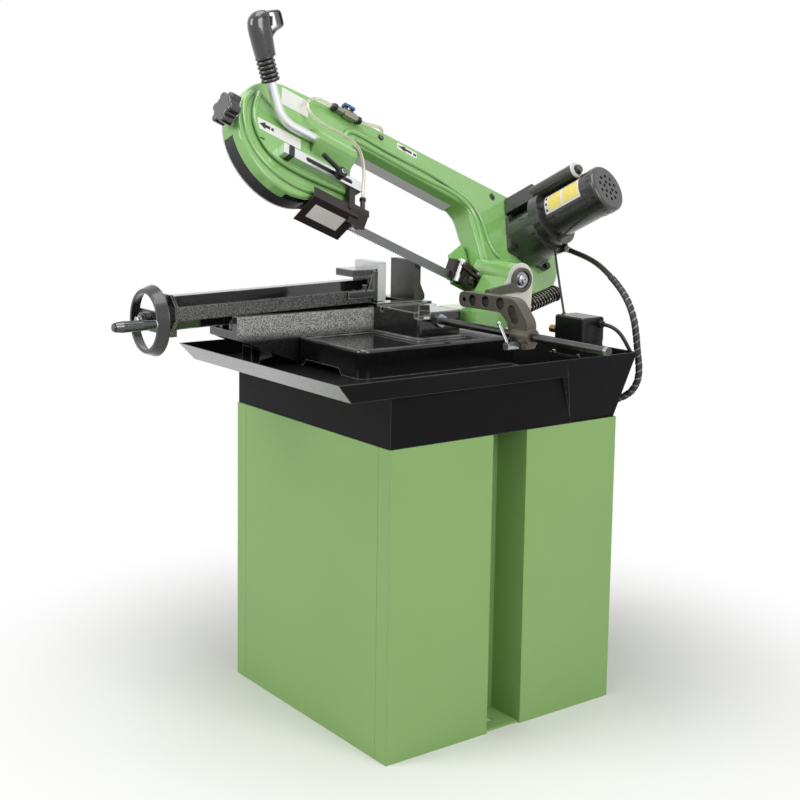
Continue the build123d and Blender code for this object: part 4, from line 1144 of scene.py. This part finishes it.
@dataclass
class Bow(Dressing):
    """Bow casting with its cover, guards, plates and the toothed band; places by p, q and r."""

    finishes: Finishes = (
        (CAST_ENAMEL, ("bow_frame",)),
        (GREY_ENAMEL, ("wheel_cover",)),
        (NYLON, ("front_guard",)),
        (GUIDE_ENAMEL, ("rear_guide",)),
        (GROUND_STEEL, ("rear_guide_rollers", "tension_slide")),
        (PHOSPHATED, ("rear_guide_clamp",)),
        (GREY_IRON, ("drive_wheel", "idler_wheel")),
        (GLOSS_PLASTIC, ("tension_knob",)),
    )
    band: BandLoop = BandLoop()
    band_half_mm: float = 10.0
    band_thick_mm: float = 0.9
    band_smooth_deg: float = 25.0
    tooth_steps: tuple[float, ...] = (10.0, 7.9, 7.7, 8.6, 9.3)
    films: tuple[ArrowFilm, ...] = (
        ArrowFilm("arm_film", (118.0, 247.5, 22.05), (58.0, 15.0), (-28.0, 27.0), 6.9, 3.0),
        ArrowFilm("field_film", (-232.0, 110.0, 27.05), (108.0, 25.0), (-49.0, -14.0), 8.5, 3.6),
    )
    plate_at: Point = (-192.0, 211.0, 22.05)
    plate_size: Point = (68.0, 42.0, 2.0)
    plate_mm: float = 0.6
    slot_at: Point = (-117.0, 66.0, 27.2)
    slot_size: Point = (126.0, 9.0, 4.0)
    slot_mm: float = 0.15
    plug_at: Point = (384.0, 252.0, 22.05)
    plug: Profile = ((7.8, 0.0), (7.8, 1.6), (6.0, 2.4), (2.0, 2.8))
    collar_at: Point = (-332.0, 112.0, 17.2)
    collar: Profile = ((16.0, 0.0), (17.6, 0.4), (17.6, 4.0), (17.0, 4.6), (16.0, 4.6))
    cover_mm: float = -30.52
    cover_screw: Screw = Screw(5.0, 3.0, Head.PAN)
    cover_screws: Profile = ((60.0, 250.0), (250.0, 258.0))
    cover_rings: tuple[tuple[Pair, float, tuple[float, ...]], ...] = (
        ((-200.0, 116.0), 116.0, (55.0, 115.0, 180.0, 250.0)),
        ((484.0, 162.0), 106.0, (-75.0, -10.0, 50.0, 105.0)),
    )
    guide_screw: Screw = Screw(4.6, 3.6, Head.SOCKET)
    guide_screws: Route = ((275.5, 25.2, 27.02), (320.5, 14.8, 27.02))

    def toothed_band(self) -> None:
        """Makes the whole band as one strip whose lower edge has raked teeth."""
        points = self.band.stations()
        along, across, out = BOW.axes()
        back, half = -self.band_half_mm, self.band_thick_mm / 2
        rings = []
        for i, (place, turn) in enumerate(points):
            run = (points[(i + 1) % len(points)][0] - points[i - 1][0]).normalized()
            outward = along * -run.y + across * run.x
            a = math.radians(turn)
            edge = outward * math.cos(a) - out * math.sin(a)
            thick = outward * math.sin(a) + out * math.cos(a)
            tip = self.tooth_steps[i % len(self.tooth_steps)]
            centre = BOW.at(place.x, place.y, 0)
            section = ((back, -half), (back, half), (tip, half), (tip, -half))
            rings.append([centre + (edge * u + thick * v) * MM for u, v in section])
        bm = bmesh.new()
        ring_loft(bm, rings, closed=True)
        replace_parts(Piece("toothed_band", "bow", BAND_STEEL).ride(bm, self.band_smooth_deg), "saw_band")

    def fittings(self) -> None:
        """Adds films, the bare plate, a black sheet in the slot as painted shade, the plug, the knob's collar
        and screws.
        """
        for film in self.films:
            film.build()
        plate = rounded(*self.plate_size)
        Piece("bare_plate", "bow", PLAIN_PLATE).plates(BOW.matrix(*self.plate_at), self.plate_mm, plate)
        # A thin black sheet behind the guide bar's slot: painted shade that shows the slot dark
        slot = rounded(*self.slot_size)
        Piece("slot_shade_sheet", "bow", BLACK_INK).plates(BOW.matrix(*self.slot_at), self.slot_mm, slot)
        Piece("arm_plug", "bow", NYLON).turned(self.plug, BOW.matrix(*self.plug_at))
        along, _, out = BOW.axes()
        knob = facing(BOW.at(*self.collar_at), -along)
        Piece("knob_collar", "tension_knob", ZINC).turned(self.collar, knob)
        spots = list(self.cover_screws)
        for (p, q), radius, angles in self.cover_rings:
            for a in map(math.radians, angles):
                spots.append((p + radius * math.cos(a), q + radius * math.sin(a)))
        places = [facing(BOW.at(p, q, self.cover_mm), -out) for p, q in spots]
        Piece("cover_screws", "bow", ZINC).screws(self.cover_screw, *places)
        places = [BOW.matrix(*place) for place in self.guide_screws]
        Piece("rear_guide_screws", "bow", ZINC).screws(self.guide_screw, *places)


@dataclass
class Guides(Dressing):
    """Sliding front guide with its bar, guard and clamp lever; places by p, q and r."""

    finishes: Finishes = (
        (ALUMINIUM, ("guide_bar",)),
        (GUIDE_ENAMEL, ("front_guide", "guide_guard")),
        (GROUND_STEEL, ("front_guide_rollers",)),
        (NYLON, ("guide_clamp_lever",)),
    )
    guard_at: Point = (-95.0, -16.8, 8.9)
    guard_slope: Pair = (0.328, 0.945)
    film_size: Point = (78.0, 34.0, 1.0)
    film_mm: float = 0.3
    film_lift_mm: float = 0.1
    clip_at: Point = (-214.0, 66.0, 27.7)
    clip_size: Point = (13.0, 25.0, 2.0)
    clip_mm: float = 19.6
    lever_at: Point = (-96.0, 66.0, 62.0)
    lever_screw: Screw = Screw(5.5, 3.0, Head.SOCKET)
    hose_at: Point = (-20.0, 45.0, 34.0)
    hose_clip: Profile = ((3.2, 0.0), (6.4, 0.0), (6.8, 0.5), (6.8, 5.5), (6.4, 6.0), (3.2, 6.0))
    hose_sides: int = 24

    def fittings(self) -> None:
        """Adds the guard's bare film, the bar's end clip, the lever's screw and the hose's clip."""
        along, across, out = BOW.axes()
        low, high = self.guard_slope
        rise = across * low + out * high
        square = out * low - across * high
        place = along_axes(BOW.at(*self.guard_at) + square * (self.film_lift_mm * MM), (along, rise, square))
        Piece("guard_film", "guide_arm", WHITE_FILM).plates(place, self.film_mm, rounded(*self.film_size))
        clip = rounded(*self.clip_size)
        Piece("bar_clip", "guide_arm", NYLON).plates(BOW.matrix(*self.clip_at), self.clip_mm, clip)
        Piece("lever_screw", "guide_clamp", ZINC).screws(self.lever_screw, BOW.matrix(*self.lever_at))
        hose = facing(BOW.at(*self.hose_at), across)
        Piece("hose_clip", "guide_arm", NYLON).turned(self.hose_clip, hose, sides=self.hose_sides)


@dataclass
class Motor(Dressing):
    """Gearbox, motor and capacitor; sheets by their angles round the shell and ends along it."""

    finishes: Finishes = (
        (MOTOR_ENAMEL, ("gearbox", "motor", "fan_cover", "capacitor_housing")),
        (PHOSPHATED, ("gearbox_bolts",)),
    )
    axis: Pair = (480.0, 190.0)
    radius_mm: float = 51.0
    sheet_mm: float = 0.25
    least_lift_mm: float = 0.05
    sheet_step_deg: float = 3.0
    film: tuple[Profile, ...] = (((-154.0, -206.0), (136.0, 234.0)),)
    film_lift_mm: float = 0.3
    panels: tuple[Profile, ...] = (
        ((-159.0, -203.0), (147.0, 182.0)), ((-160.0, -203.0), (189.0, 230.0)),
    )
    print_lift_mm: float = 0.58
    squares_deg: Point = (-163.0, -180.0, -197.0)
    square_half_deg: float = 3.5
    square_ends: Pair = (138.5, 143.5)
    vents: int = 24
    vent_half_deg: float = 3.2
    vent_ends: Pair = (255.0, 266.0)
    vent_lift_mm: float = 2.3
    flange_mm: float = 124.0
    bolt_circle_mm: float = 59.0
    bolts_deg: tuple[float, ...] = (-179.0, -85.0, 5.0, 95.0)
    bolt: Screw = Screw(5.2, 4.5, Head.HEX)
    ring_at: Point = (440.0, 244.0, 221.0)
    ring: Profile = ((17.5, 0.0), (18.8, 0.4), (18.8, 4.6), (18.2, 5.4), (9.2, 5.6))
    nut_at: Point = (440.0, 244.0, 226.4)
    nut: Profile = ((11.5, 0.0), (11.5, 4.6), (10.6, 5.4), (9.1, 5.4))

    def round_axis(self, radius: float, angle_deg: float, r: float) -> Point:
        """Place in the bow's frame at a radius and an angle about the motor's axis."""
        a = math.radians(angle_deg)
        return (self.axis[0] + radius * math.cos(a), self.axis[1] + radius * math.sin(a), r)

    def sheets(self, name: str, finish: Finish, lift: float, spans: Sequence[Profile]) -> None:
        """Adds thin sheets that lie round the motor's shell, as one piece.

        Args:
            name: Name of the piece.
            finish: Its material.
            lift: How far its face stands off the shell, in millimetres.
            spans: Two angles in degrees and two ends in millimetres for each sheet.
        """
        low, high = self.radius_mm + max(self.least_lift_mm, lift - self.sheet_mm), self.radius_mm + lift
        bm = bmesh.new()
        for (start, stop), (near, far) in spans:
            steps = max(2, int(abs(stop - start) / self.sheet_step_deg))
            corners = ((low, near), (high, near), (high, far), (low, far))
            rings = []
            for step in range(steps + 1):
                angle = start + (stop - start) * step / steps
                rings.append([BOW.at(*self.round_axis(radius, angle, r)) for radius, r in corners])
            ring_loft(bm, rings)
        Piece(name, "bow", finish).ride(bm)

    def films(self) -> None:
        """Adds the white film with two plain yellow panels and three black squares."""
        self.sheets("motor_film", WHITE_FILM, self.film_lift_mm, self.film)
        self.sheets("motor_film_panels", YELLOW_FILM, self.print_lift_mm, self.panels)
        half = self.square_half_deg
        squares = [((middle - half, middle + half), self.square_ends) for middle in self.squares_deg]
        self.sheets("motor_film_squares", BLACK_INK, self.print_lift_mm, squares)

    def fittings(self) -> None:
        """Adds the flange's bolts, black sheets on the fan's cover as painted shade for its vents, the
        capacitor's ring and its nut.
        """
        spots = [self.round_axis(self.bolt_circle_mm, angle, self.flange_mm) for angle in self.bolts_deg]
        Piece("flange_bolts", "bow", PHOSPHATED).screws(self.bolt, *(BOW.matrix(*spot) for spot in spots))
        # Black sheets on the fan's cover: painted shade that stands for its vent openings
        half = self.vent_half_deg
        middles = [360 * vent / self.vents for vent in range(self.vents)]
        vents = [((middle - half, middle + half), self.vent_ends) for middle in middles]
        self.sheets("fan_vent_shade_sheets", BLACK_INK, self.vent_lift_mm, vents)
        Piece("capacitor_ring", "bow", WHITE_NYLON).turned(self.ring, BOW.matrix(*self.ring_at))
        Piece("capacitor_nut", "bow", NYLON).turned(self.nut, BOW.matrix(*self.nut_at), sides=6)


@dataclass
class Handle(Dressing):
    """Handle tube, ribbed boot and grip; the grip's sections by Y and Z of both edges, and depth."""

    finishes: Finishes = ((ALUMINIUM, ("handle_tube",)), (NYLON, ("trigger",)))
    grip_x_mm: float = -108.0
    grip_sections: tuple[tuple[float, ...], ...] = (
        (-335.0, 1289.5, -297.0, 1299.5, 17.0),
        (-337.5, 1296.0, -298.0, 1304.0, 17.4),
        (-343.0, 1312.0, -300.5, 1316.0, 17.8),
        (-350.0, 1334.0, -303.0, 1331.0, 18.2),
        (-353.5, 1348.0, -306.0, 1345.0, 18.4),
        (-354.0, 1359.0, -308.0, 1357.0, 18.0),
        (-351.0, 1368.0, -309.0, 1367.0, 16.8),
        (-345.5, 1375.0, -311.0, 1375.0, 14.4),
        (-338.0, 1380.0, -314.0, 1380.5, 11.0),
        (-330.0, 1382.5, -319.0, 1383.0, 6.0),
    )
    grip_sides: int = 32
    grip_smooth_deg: float = 40.0
    squareness: float = 2.5
    loop_line: Profile = (
        (-322.0, 1377.5), (-312.0, 1380.5), (-302.0, 1382.4), (-295.5, 1383.0), (-291.6, 1381.6),
        (-289.4, 1378.0), (-287.0, 1370.0), (-284.6, 1362.0), (-284.0, 1357.6), (-286.0, 1354.0),
        (-292.0, 1350.4), (-299.0, 1345.6), (-304.0, 1340.0), (-309.0, 1332.0),
    )
    loop_mm: Pair = (2.7, 12.5)
    loop_sides: int = 20
    pocket_mm: Point = (14.8, 20.0, 18.8)
    pocket_at: Point = (-108.0, -310.0, 1363.0)
    grip_screw: Screw = Screw(3.0, 1.2, Head.SOCKET)
    grip_screws: Route = ((-91.4, -328.0, 1368.0), (-91.4, -319.0, 1305.0))
    bend: Point = (-236.0, 133.0, 37.0)
    up: Point = (-0.653, 0.652, 0.376)
    boot_from_mm: float = 78.0
    boot_mm: float = 52.0
    boot_sides: int = 40
    ribs: int = 6
    rib_steps: int = 10
    rib_power: float = 0.7
    rib_radius_mm: float = 19.0
    root_radius_mm: float = 15.5
    bore_mm: float = 10.05

    def oval(self, centre: Vector, half: Vector, depth_mm: float, sides: int) -> list[Vector]:
        """Ring of a rounded section across the grip.

        Args:
            centre: Middle of the section in millimetres.
            half: Half of its width, as a vector in millimetres.
            depth_mm: Half of its depth along X.
            sides: Number of points.

        Returns:
            The ring in metres.
        """
        ring = []
        for side in range(sides):
            a = TURN * side / sides
            u = math.copysign(abs(math.cos(a)) ** (2 / self.squareness), math.cos(a))
            v = math.copysign(abs(math.sin(a)) ** (2 / self.squareness), math.sin(a))
            ring.append((centre + half * u + RIGHT * (depth_mm * v)) * MM)
        return ring

    def grip(self) -> None:
        """Forms the rounded grip with its trigger guard, screws and the trigger's pocket."""
        rings = []
        for left_y, left_z, right_y, right_z, depth in self.grip_sections:
            left, right = Vector((self.grip_x_mm, left_y, left_z)), Vector((self.grip_x_mm, right_y, right_z))
            rings.append(self.oval((left + right) / 2, (right - left) / 2, depth, self.grip_sides))
        body, pocket = bmesh.new(), bmesh.new()
        ring_loft(body, rings)
        place = Matrix.Translation(Vector(self.pocket_at) * MM) @ Matrix.Diagonal((*self.pocket_mm, 1.0))
        bmesh.ops.create_cube(pocket, size=MM, matrix=place)
        bm = carved(body, pocket)
        thick, depth = self.loop_mm
        points = [Vector((self.grip_x_mm, y, z)) for y, z in self.loop_line]
        rings = []
        for i, point in enumerate(points):
            run = (points[min(i + 1, len(points) - 1)] - points[max(i - 1, 0)]).normalized()
            rings.append(self.oval(point, Vector((0, -run.z, run.y)) * thick, depth, self.loop_sides))
        ring_loft(bm, rings)
        grip = Piece("pistol_grip", "bow", GLOSS_PLASTIC).ride(bm, self.grip_smooth_deg)
        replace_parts(grip, "handle_grip")
        places = [facing(spot, RIGHT) for spot in metres(self.grip_screws)]
        Piece("grip_screws", "bow", PHOSPHATED).screws(self.grip_screw, *places)

    def boot(self) -> None:
        """Turns the ribbed boot with full round ribs."""
        along, across, out = BOW.axes()
        up = (along * self.up[0] + across * self.up[1] + out * self.up[2]).normalized()
        start = BOW.at(*self.bend) + up * (self.boot_from_mm * MM)
        pitch = self.boot_mm / self.ribs
        profile = [(self.bore_mm, 0.0)]
        for rib in range(self.ribs):
            for step in range(self.rib_steps):
                share = step / self.rib_steps
                swell = math.sin(math.pi * share) ** self.rib_power
                radius = self.root_radius_mm + swell * (self.rib_radius_mm - self.root_radius_mm)
                profile.append((radius, (rib + share) * pitch))
        profile += [(self.root_radius_mm, self.boot_mm), (self.bore_mm, self.boot_mm)]
        boot = Piece("ribbed_boot", "bow", RUBBER).turned(
            profile, facing(start, up), sides=self.boot_sides, smooth_deg=ROUND_DEG
        )
        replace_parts(boot, "handle_boot")


@dataclass
class Coolant(Dressing):
    """Coolant valve with its lever; nuts by where they start and which way they point along p."""

    finishes: Finishes = ((NICKEL, ("coolant_valve",)), (BLUE_NYLON, ("valve_lever",)))
    line: Pair = (246.0, 31.0)
    nuts: Profile = ((-91.0, -1.0), (-36.0, 1.0))
    nut: Profile = ((7.05, 0.0), (8.6, 0.5), (8.6, 9.0), (7.6, 10.0), (5.4, 12.5), (3.6, 12.5))
    nut_smooth_deg: float = 30.0
    grommet_at: Point = (41.0, 244.0, 22.02)
    grommet: Profile = ((7.4, 0.0), (7.4, 1.6), (6.4, 2.8), (4.6, 3.2), (3.5, 2.6))

    def fittings(self) -> None:
        """Adds the union nuts at the valve's ends and the grommet where the rear hose goes in."""
        along, _, _ = BOW.axes()
        places = [facing(BOW.at(p, *self.line), along * way) for p, way in self.nuts]
        nuts = Piece("union_nuts", "bow", NYLON)
        nuts.turned(self.nut, *places, sides=6, smooth_deg=self.nut_smooth_deg)
        Piece("hose_grommet", "bow", RUBBER).turned(self.grommet, BOW.matrix(*self.grommet_at))


@dataclass
class Cord:
    """A cable or hose on a smooth line through its route."""

    name: str
    node: str
    route: list[Vector]
    radius_mm: float
    finish: Finish
    bodies: tuple[str, ...]
    lay: str = "hanging"

    def mesh(self, bevel: float) -> bpy.types.Mesh:
        """Reads a mesh from the route's spline.

        Args:
            bevel: Radius of the tube in metres, or zero for the bare line.

        Returns:
            The tube, or the points along the line.
        """
        data = bpy.data.curves.new(self.name, "CURVE")
        data.dimensions = "3D"
        data.resolution_u = 10
        data.bevel_depth = bevel
        data.bevel_resolution = 5
        data.use_fill_caps = True
        spline = data.splines.new("NURBS")
        spline.points.add(len(self.route) - 1)
        for point, place in zip(spline.points, self.route):
            point.co = (*place, 1.0)
        spline.order_u = 3
        spline.use_endpoint_u = True
        obj = placed(self.name + "_line", data)
        bpy.context.view_layer.update()
        mesh = bpy.data.meshes.new_from_object(obj)
        bpy.data.objects.remove(obj)
        return mesh

    def line(self) -> list[Vector]:
        """Points read along the route's spline."""
        return [vertex.co.copy() for vertex in self.mesh(0.0).vertices]

    def build(self, extras: Sequence[Object] = ()) -> None:
        """Args:
            extras: Pieces meant to ride on the cord; not used.
        """
        path = self.line()
        tube = self.mesh(self.radius_mm * MM)
        piece = self.hold(Piece(self.name, self.bodies[0], self.finish).link(tube, ROUND_DEG))
        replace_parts(piece, self.node)

    def hold(self, piece: Object) -> Object:
        """Rides a piece on the cord's body, or, for a cord between two bodies, bakes its placement into its
        mesh.

        Args:
            piece: The cord or a piece on it.

        Returns:
            The same piece.
        """
        if len(self.bodies) == 1:
            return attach(piece, self.bodies[0])
        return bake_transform(piece)

    def stations(self, step_mm: float = 1.0) -> list[tuple[Vector, Vector, float]]:
        """Even points along the cord.

        Args:
            step_mm: Greatest distance between points.

        Returns:
            Place, direction and distance from the start in metres, for each point.
        """
        path = self.line()
        points = []
        travel = 0.0
        for here, there in zip(path, path[1:]):
            run = there - here
            parts = max(1, math.ceil(run.length / (step_mm * MM)))
            for share in (part / parts for part in range(parts)):
                points.append((here.lerp(there, share), run.normalized(), travel + run.length * share))
            travel += run.length
        return points

    def sleeve(self, name: str, finish: Finish, profile: Profile, sides: int = 24) -> None:
        """Tapered bush round the cord near its start.

        Args:
            name: Name of the piece.
            finish: Its material.
            profile: Distance from the start and radius pairs in millimetres.
            sides: Number of sides.
        """
        points = self.stations()
        rings = []
        for distance, radius in profile:
            centre, run, _ = min(points, key=lambda point: abs(point[2] - distance * MM))
            rings.append(circle(facing(centre, run), radius, 0.0, sides))
        bm = bmesh.new()
        ring_loft(bm, rings)
        Piece(name, self.bodies[0], finish).ride(bm)

    def wrap(self, finish: Finish, pitch_mm: float, width_mm: float, ends: Pair, smooth_deg: float) -> Object:
        """Spiral band wound round the cord.

        Args:
            finish: Its material; the piece keeps the cord's slot, which is not applied.
            pitch_mm: Distance between turns.
            width_mm: Width of the band.
            ends: Radii of its inner and outer face in millimetres.
            smooth_deg: Angle above which an edge stays sharp.

        Returns:
            The band, held as the cord is.
        """
        normal = Vector((0, 0, 1))
        low, high = (radius * MM for radius in ends)
        half = width_mm * MM / 2
        section = ((-half, low), (-half, high), (half, high), (half, low))
        rows = []
        for centre, run, distance in self.stations(pitch_mm / WRAP_STEPS):
            normal = (normal - run * normal.dot(run)).normalized()
            a = TURN * distance / (pitch_mm * MM)
            outward = normal * math.cos(a) + run.cross(normal) * math.sin(a)
            rows.append([centre + run * along + outward * reach for along, reach in section])
        bm = bmesh.new()
        ring_loft(bm, rows)
        band = Piece(self.name + "_wrap", self.bodies[0], finish, self.finish.slot)
        return self.hold(band.link(to_mesh(bm, band.name), smooth_deg))


@dataclass
class Cables:
    """All cables and hoses of the saw, by their radii and the points of their routes."""

    cable_mm: float = 6.0
    lead_mm: float = 2.5
    box_cable_mm: float = 4.0
    hose_mm: float = 3.5
    gland: Profile = ((0.0, 9.5), (7.0, 9.5), (9.0, 8.4), (16.0, 7.4))
    bush: Profile = ((14.0, 6.9), (15.0, 7.2), (34.0, 6.6), (36.0, 6.2))
    wrap_pitch_mm: float = 15.0
    wrap_width_mm: float = 11.7
    wrap_ends_mm: Pair = (5.8, 7.3)
    wrap_smooth_deg: float = 40.0
    upper: Route = (
        (-58, 438, 904), (-10, 423, 898), (36, 407, 894), (84, 391, 887), (130, 374, 876), (168, 360, 862),
    )
    lower: Route = (
        (168.4, 359.8, 861.8), (208, 346, 845), (242, 338, 818), (262, 335, 786), (270, 335, 752),
        (274, 336, 718), (280, 337, 684), (278, 335, 656), (266, 329, 634), (250, 317, 621), (242, 300, 617),
        (240, 287, 617),
    )
    lead_upper: Route = ((-32, 386, 904), (5, 358.6, 872), (46, 328.5, 840))
    lead_lower: Route = ((46.3, 328.3, 839.8), (86, 299, 811), (124, 271, 784))
    box: Route = ((221.3, 288, 772), (241, 288, 772), (262, 295, 760), (273, 304, 738), (278, 314, 717))
    hose_front: Route = (
        (-100.4, 246, 31), (-122, 246, 31), (-150, 238, 36), (-174, 216, 40), (-178, 192, 43),
        (-160, 170, 49), (-126, 162, 55), (-90, 160, 58), (-56, 154, 58), (-32, 134, 49), (-20, 104, 38),
        (-19.6, 74, 34), (-20, 44.6, 34),
    )
    hose_rear: Route = (
        (-26.6, 246, 31), (-12, 246, 32), (4, 247, 38), (20, 249, 42), (34, 248, 36), (41, 244, 22),
    )

    def electric(self) -> None:
        """Lays the motor's cable, the switch lead and the box's loop."""
        above, below = ("bow", "swivel"), ("swivel", "base")
        motor = Cord("motor_cable", "cable_upper", metres(self.upper), self.cable_mm, JACKET, above)
        motor.build()
        motor.sleeve("motor_gland", NYLON, self.gland)
        motor.sleeve("motor_bush", WHITE_NYLON, self.bush)
        wrapped = Cord("wrapped_cable", "cable_lower", metres(self.lower), self.cable_mm, PALE_JACKET, below)
        band = wrapped.wrap(
            NYLON, self.wrap_pitch_mm, self.wrap_width_mm, self.wrap_ends_mm, self.wrap_smooth_deg
        )
        wrapped.build([band])
        top, foot = metres(self.lead_upper), metres(self.lead_lower)
        Cord("switch_lead_top", "lead_upper", top, self.lead_mm, JACKET, above, "taut").build()
        Cord("switch_lead_foot", "lead_lower", foot, self.lead_mm, JACKET, below, "taut").build()
        Cord("box_loop", "box_cable", metres(self.box), self.box_cable_mm, JACKET, ("base",)).build()

    def coolant(self) -> None:
        """Lays the two clear hoses of the coolant valve, whose routes are in the bow's frame."""
        front, rear = ([BOW.at(*point) for point in route] for route in (self.hose_front, self.hose_rear))
        bodies = ("bow", "guide_arm")
        Cord("coolant_hose_front", "hose_front", front, self.hose_mm, CLEAR_HOSE, bodies).build()
        Cord("coolant_hose_rear", "hose_rear", rear, self.hose_mm, CLEAR_HOSE, ("bow",)).build()


@dataclass(frozen=True)
class Lamp:
    """One soft box: its place, aim and size in metres, and its power."""

    name: str
    at: Point
    aim: Point
    size: Pair
    watts: float

    def build(self) -> None:
        """Adds the soft box."""
        data = bpy.data.lights.new(self.name, "AREA")
        data.shape = "RECTANGLE"
        data.size, data.size_y = self.size
        data.energy = self.watts
        obj = placed(self.name, data)
        obj.location = self.at
        obj.rotation_euler = (Vector(self.aim) - Vector(self.at)).to_track_quat("-Z", "Y").to_euler()


@dataclass
class Studio:
    """Pale floor, soft light and the camera."""

    eye_mm: Point = (2174.09, -1690.62, 1138.86)
    yaw: float = -0.92878
    pitch: float = -0.11989
    roll: float = 0.01505
    focal_px: float = 1357.35
    shift_y: float = -0.12
    clip_end_m: float = 60.0
    floor_half_m: float = 12.0
    floor_fade_m: Pair = (0.45, 1.15)
    fill: float = 0.26
    lamps: tuple[Lamp, ...] = (
        Lamp("soft_box_top", (0.3, -0.3, 3.3), (0.0, 0.0, 0.8), (2.0, 2.0), 44.0),
        Lamp("soft_box_left", (-0.9, -3.1, 2.3), (0.0, -0.1, 0.7), (1.8, 1.8), 56.0),
        Lamp("soft_box_right", (3.2, 0.2, 2.3), (0.0, 0.0, 0.7), (1.8, 1.8), 52.0),
    )

    def floor(self) -> None:
        """Lays a floor of matt white paper, which fades to plain white away from the object."""
        bm = bmesh.new()
        bmesh.ops.create_grid(bm, x_segments=1, y_segments=1, size=self.floor_half_m)
        mesh = bpy.data.meshes.new("floor")
        bm.to_mesh(mesh)
        bm.free()
        material = bpy.data.materials.new("matt_white_paper")
        material.use_nodes = True
        mesh.materials.append(material)
        tree = material.node_tree
        paper = tree.nodes["Principled BSDF"]
        feed(paper, {"Base Color": linear("#f4f4f2"), "Roughness": 0.8, "Specular IOR Level": 0.0})
        place = add(tree, "ShaderNodeTexCoord").outputs["Object"]
        reach = add(tree, "ShaderNodeVectorMath", {0: place}, operation="LENGTH").outputs["Value"]
        near, away = self.floor_fade_m
        span = {"Value": reach, "From Min": near, "From Max": away}
        far = add(tree, "ShaderNodeMapRange", span, interpolation_type="SMOOTHSTEP").outputs["Result"]
        white = add(tree, "ShaderNodeEmission", {"Color": WHITE, "Strength": 1.0}).outputs["Emission"]
        both = {0: far, 1: self.seen(tree)}
        share = add(tree, "ShaderNodeMath", both, operation="MULTIPLY").outputs["Value"]
        mix = add(tree, "ShaderNodeMixShader", {0: share, 1: paper.outputs["BSDF"], 2: white})
        feed(tree.nodes["Material Output"], {"Surface": mix.outputs["Shader"]})
        placed("floor", mesh)

    def seen(self, tree: Tree) -> Socket:
        """Rays that show the background: straight, reflected or through clear hose.

        Args:
            tree: Node tree that takes the nodes.

        Returns:
            Socket that is one for those rays.
        """
        path = add(tree, "ShaderNodeLightPath").outputs
        share = path["Is Camera Ray"]
        for ray in ("Is Glossy Ray", "Is Transmission Ray"):
            pair = {0: share, 1: path[ray]}
            share = add(tree, "ShaderNodeMath", pair, operation="MAXIMUM").outputs["Value"]
        return share

    def world(self) -> None:
        """White surroundings that light the object softly."""
        world = bpy.data.worlds.new("white_studio")
        bpy.context.scene.world = world
        world.use_nodes = True
        tree = world.node_tree
        tree.nodes.clear()
        level = {"Value": self.seen(tree), "To Min": self.fill, "To Max": 1.0}
        strength = add(tree, "ShaderNodeMapRange", level).outputs["Result"]
        back = add(tree, "ShaderNodeBackground", {"Color": WHITE, "Strength": strength})
        add(tree, "ShaderNodeOutputWorld", {"Surface": back.outputs["Background"]})

    def camera(self) -> None:
        """Sets the camera at the photograph's angle."""
        flat = math.cos(self.pitch)
        forward = Vector((math.sin(self.yaw) * flat, math.cos(self.yaw) * flat, math.sin(self.pitch)))
        level = forward.cross(Vector((0, 0, 1))).normalized()
        top = level.cross(forward)
        right = level * math.cos(self.roll) + top * math.sin(self.roll)
        up = top * math.cos(self.roll) - level * math.sin(self.roll)
        data = bpy.data.cameras.new("photo_camera")
        data.sensor_width = SENSOR_MM
        data.lens = self.focal_px / IMAGE_PX * SENSOR_MM
        data.shift_y = self.shift_y
        data.clip_end = self.clip_end_m
        obj = placed("photo_camera", data)
        obj.matrix_world = along_axes(Vector(self.eye_mm) * MM, (right, up, -forward))
        bpy.context.scene.camera = obj

    def build(self) -> None:
        """Sets up floor, world, lamps and camera."""
        self.floor()
        self.world()
        for lamp in self.lamps:
            lamp.build()
        self.camera()
        bpy.context.scene.view_settings.view_transform = "Standard"


def main() -> None:
    """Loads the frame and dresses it."""
    logging.basicConfig(level=logging.INFO, format="%(name)s %(message)s")
    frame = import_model()
    nodes = frame["nodes"]
    Studio().build()
    cables = Cables()
    cables.electric()
    cables.coolant()
    stand, switchgear, swivel, bow, handle = Stand(), Switchgear(), Swivel(), Bow(), Handle()
    vise, stop, guides, motor, coolant = Vise(), LengthStop(), Guides(), Motor(), Coolant()
    for part in (stand, vise, stop, switchgear, swivel, bow, guides, motor, handle, coolant):
        part.dress(nodes)
    for part in (stand, vise, stop, switchgear, swivel):
        part.faces(nodes)
    swivel.spring()
    handle.boot()
    handle.grip()
    bow.toothed_band()
    motor.films()
    for part in (vise, stop, swivel, bow, guides, motor, coolant):
        part.fittings()
    bpy.context.view_layer.update()


if __name__ == "__main__":
    main()
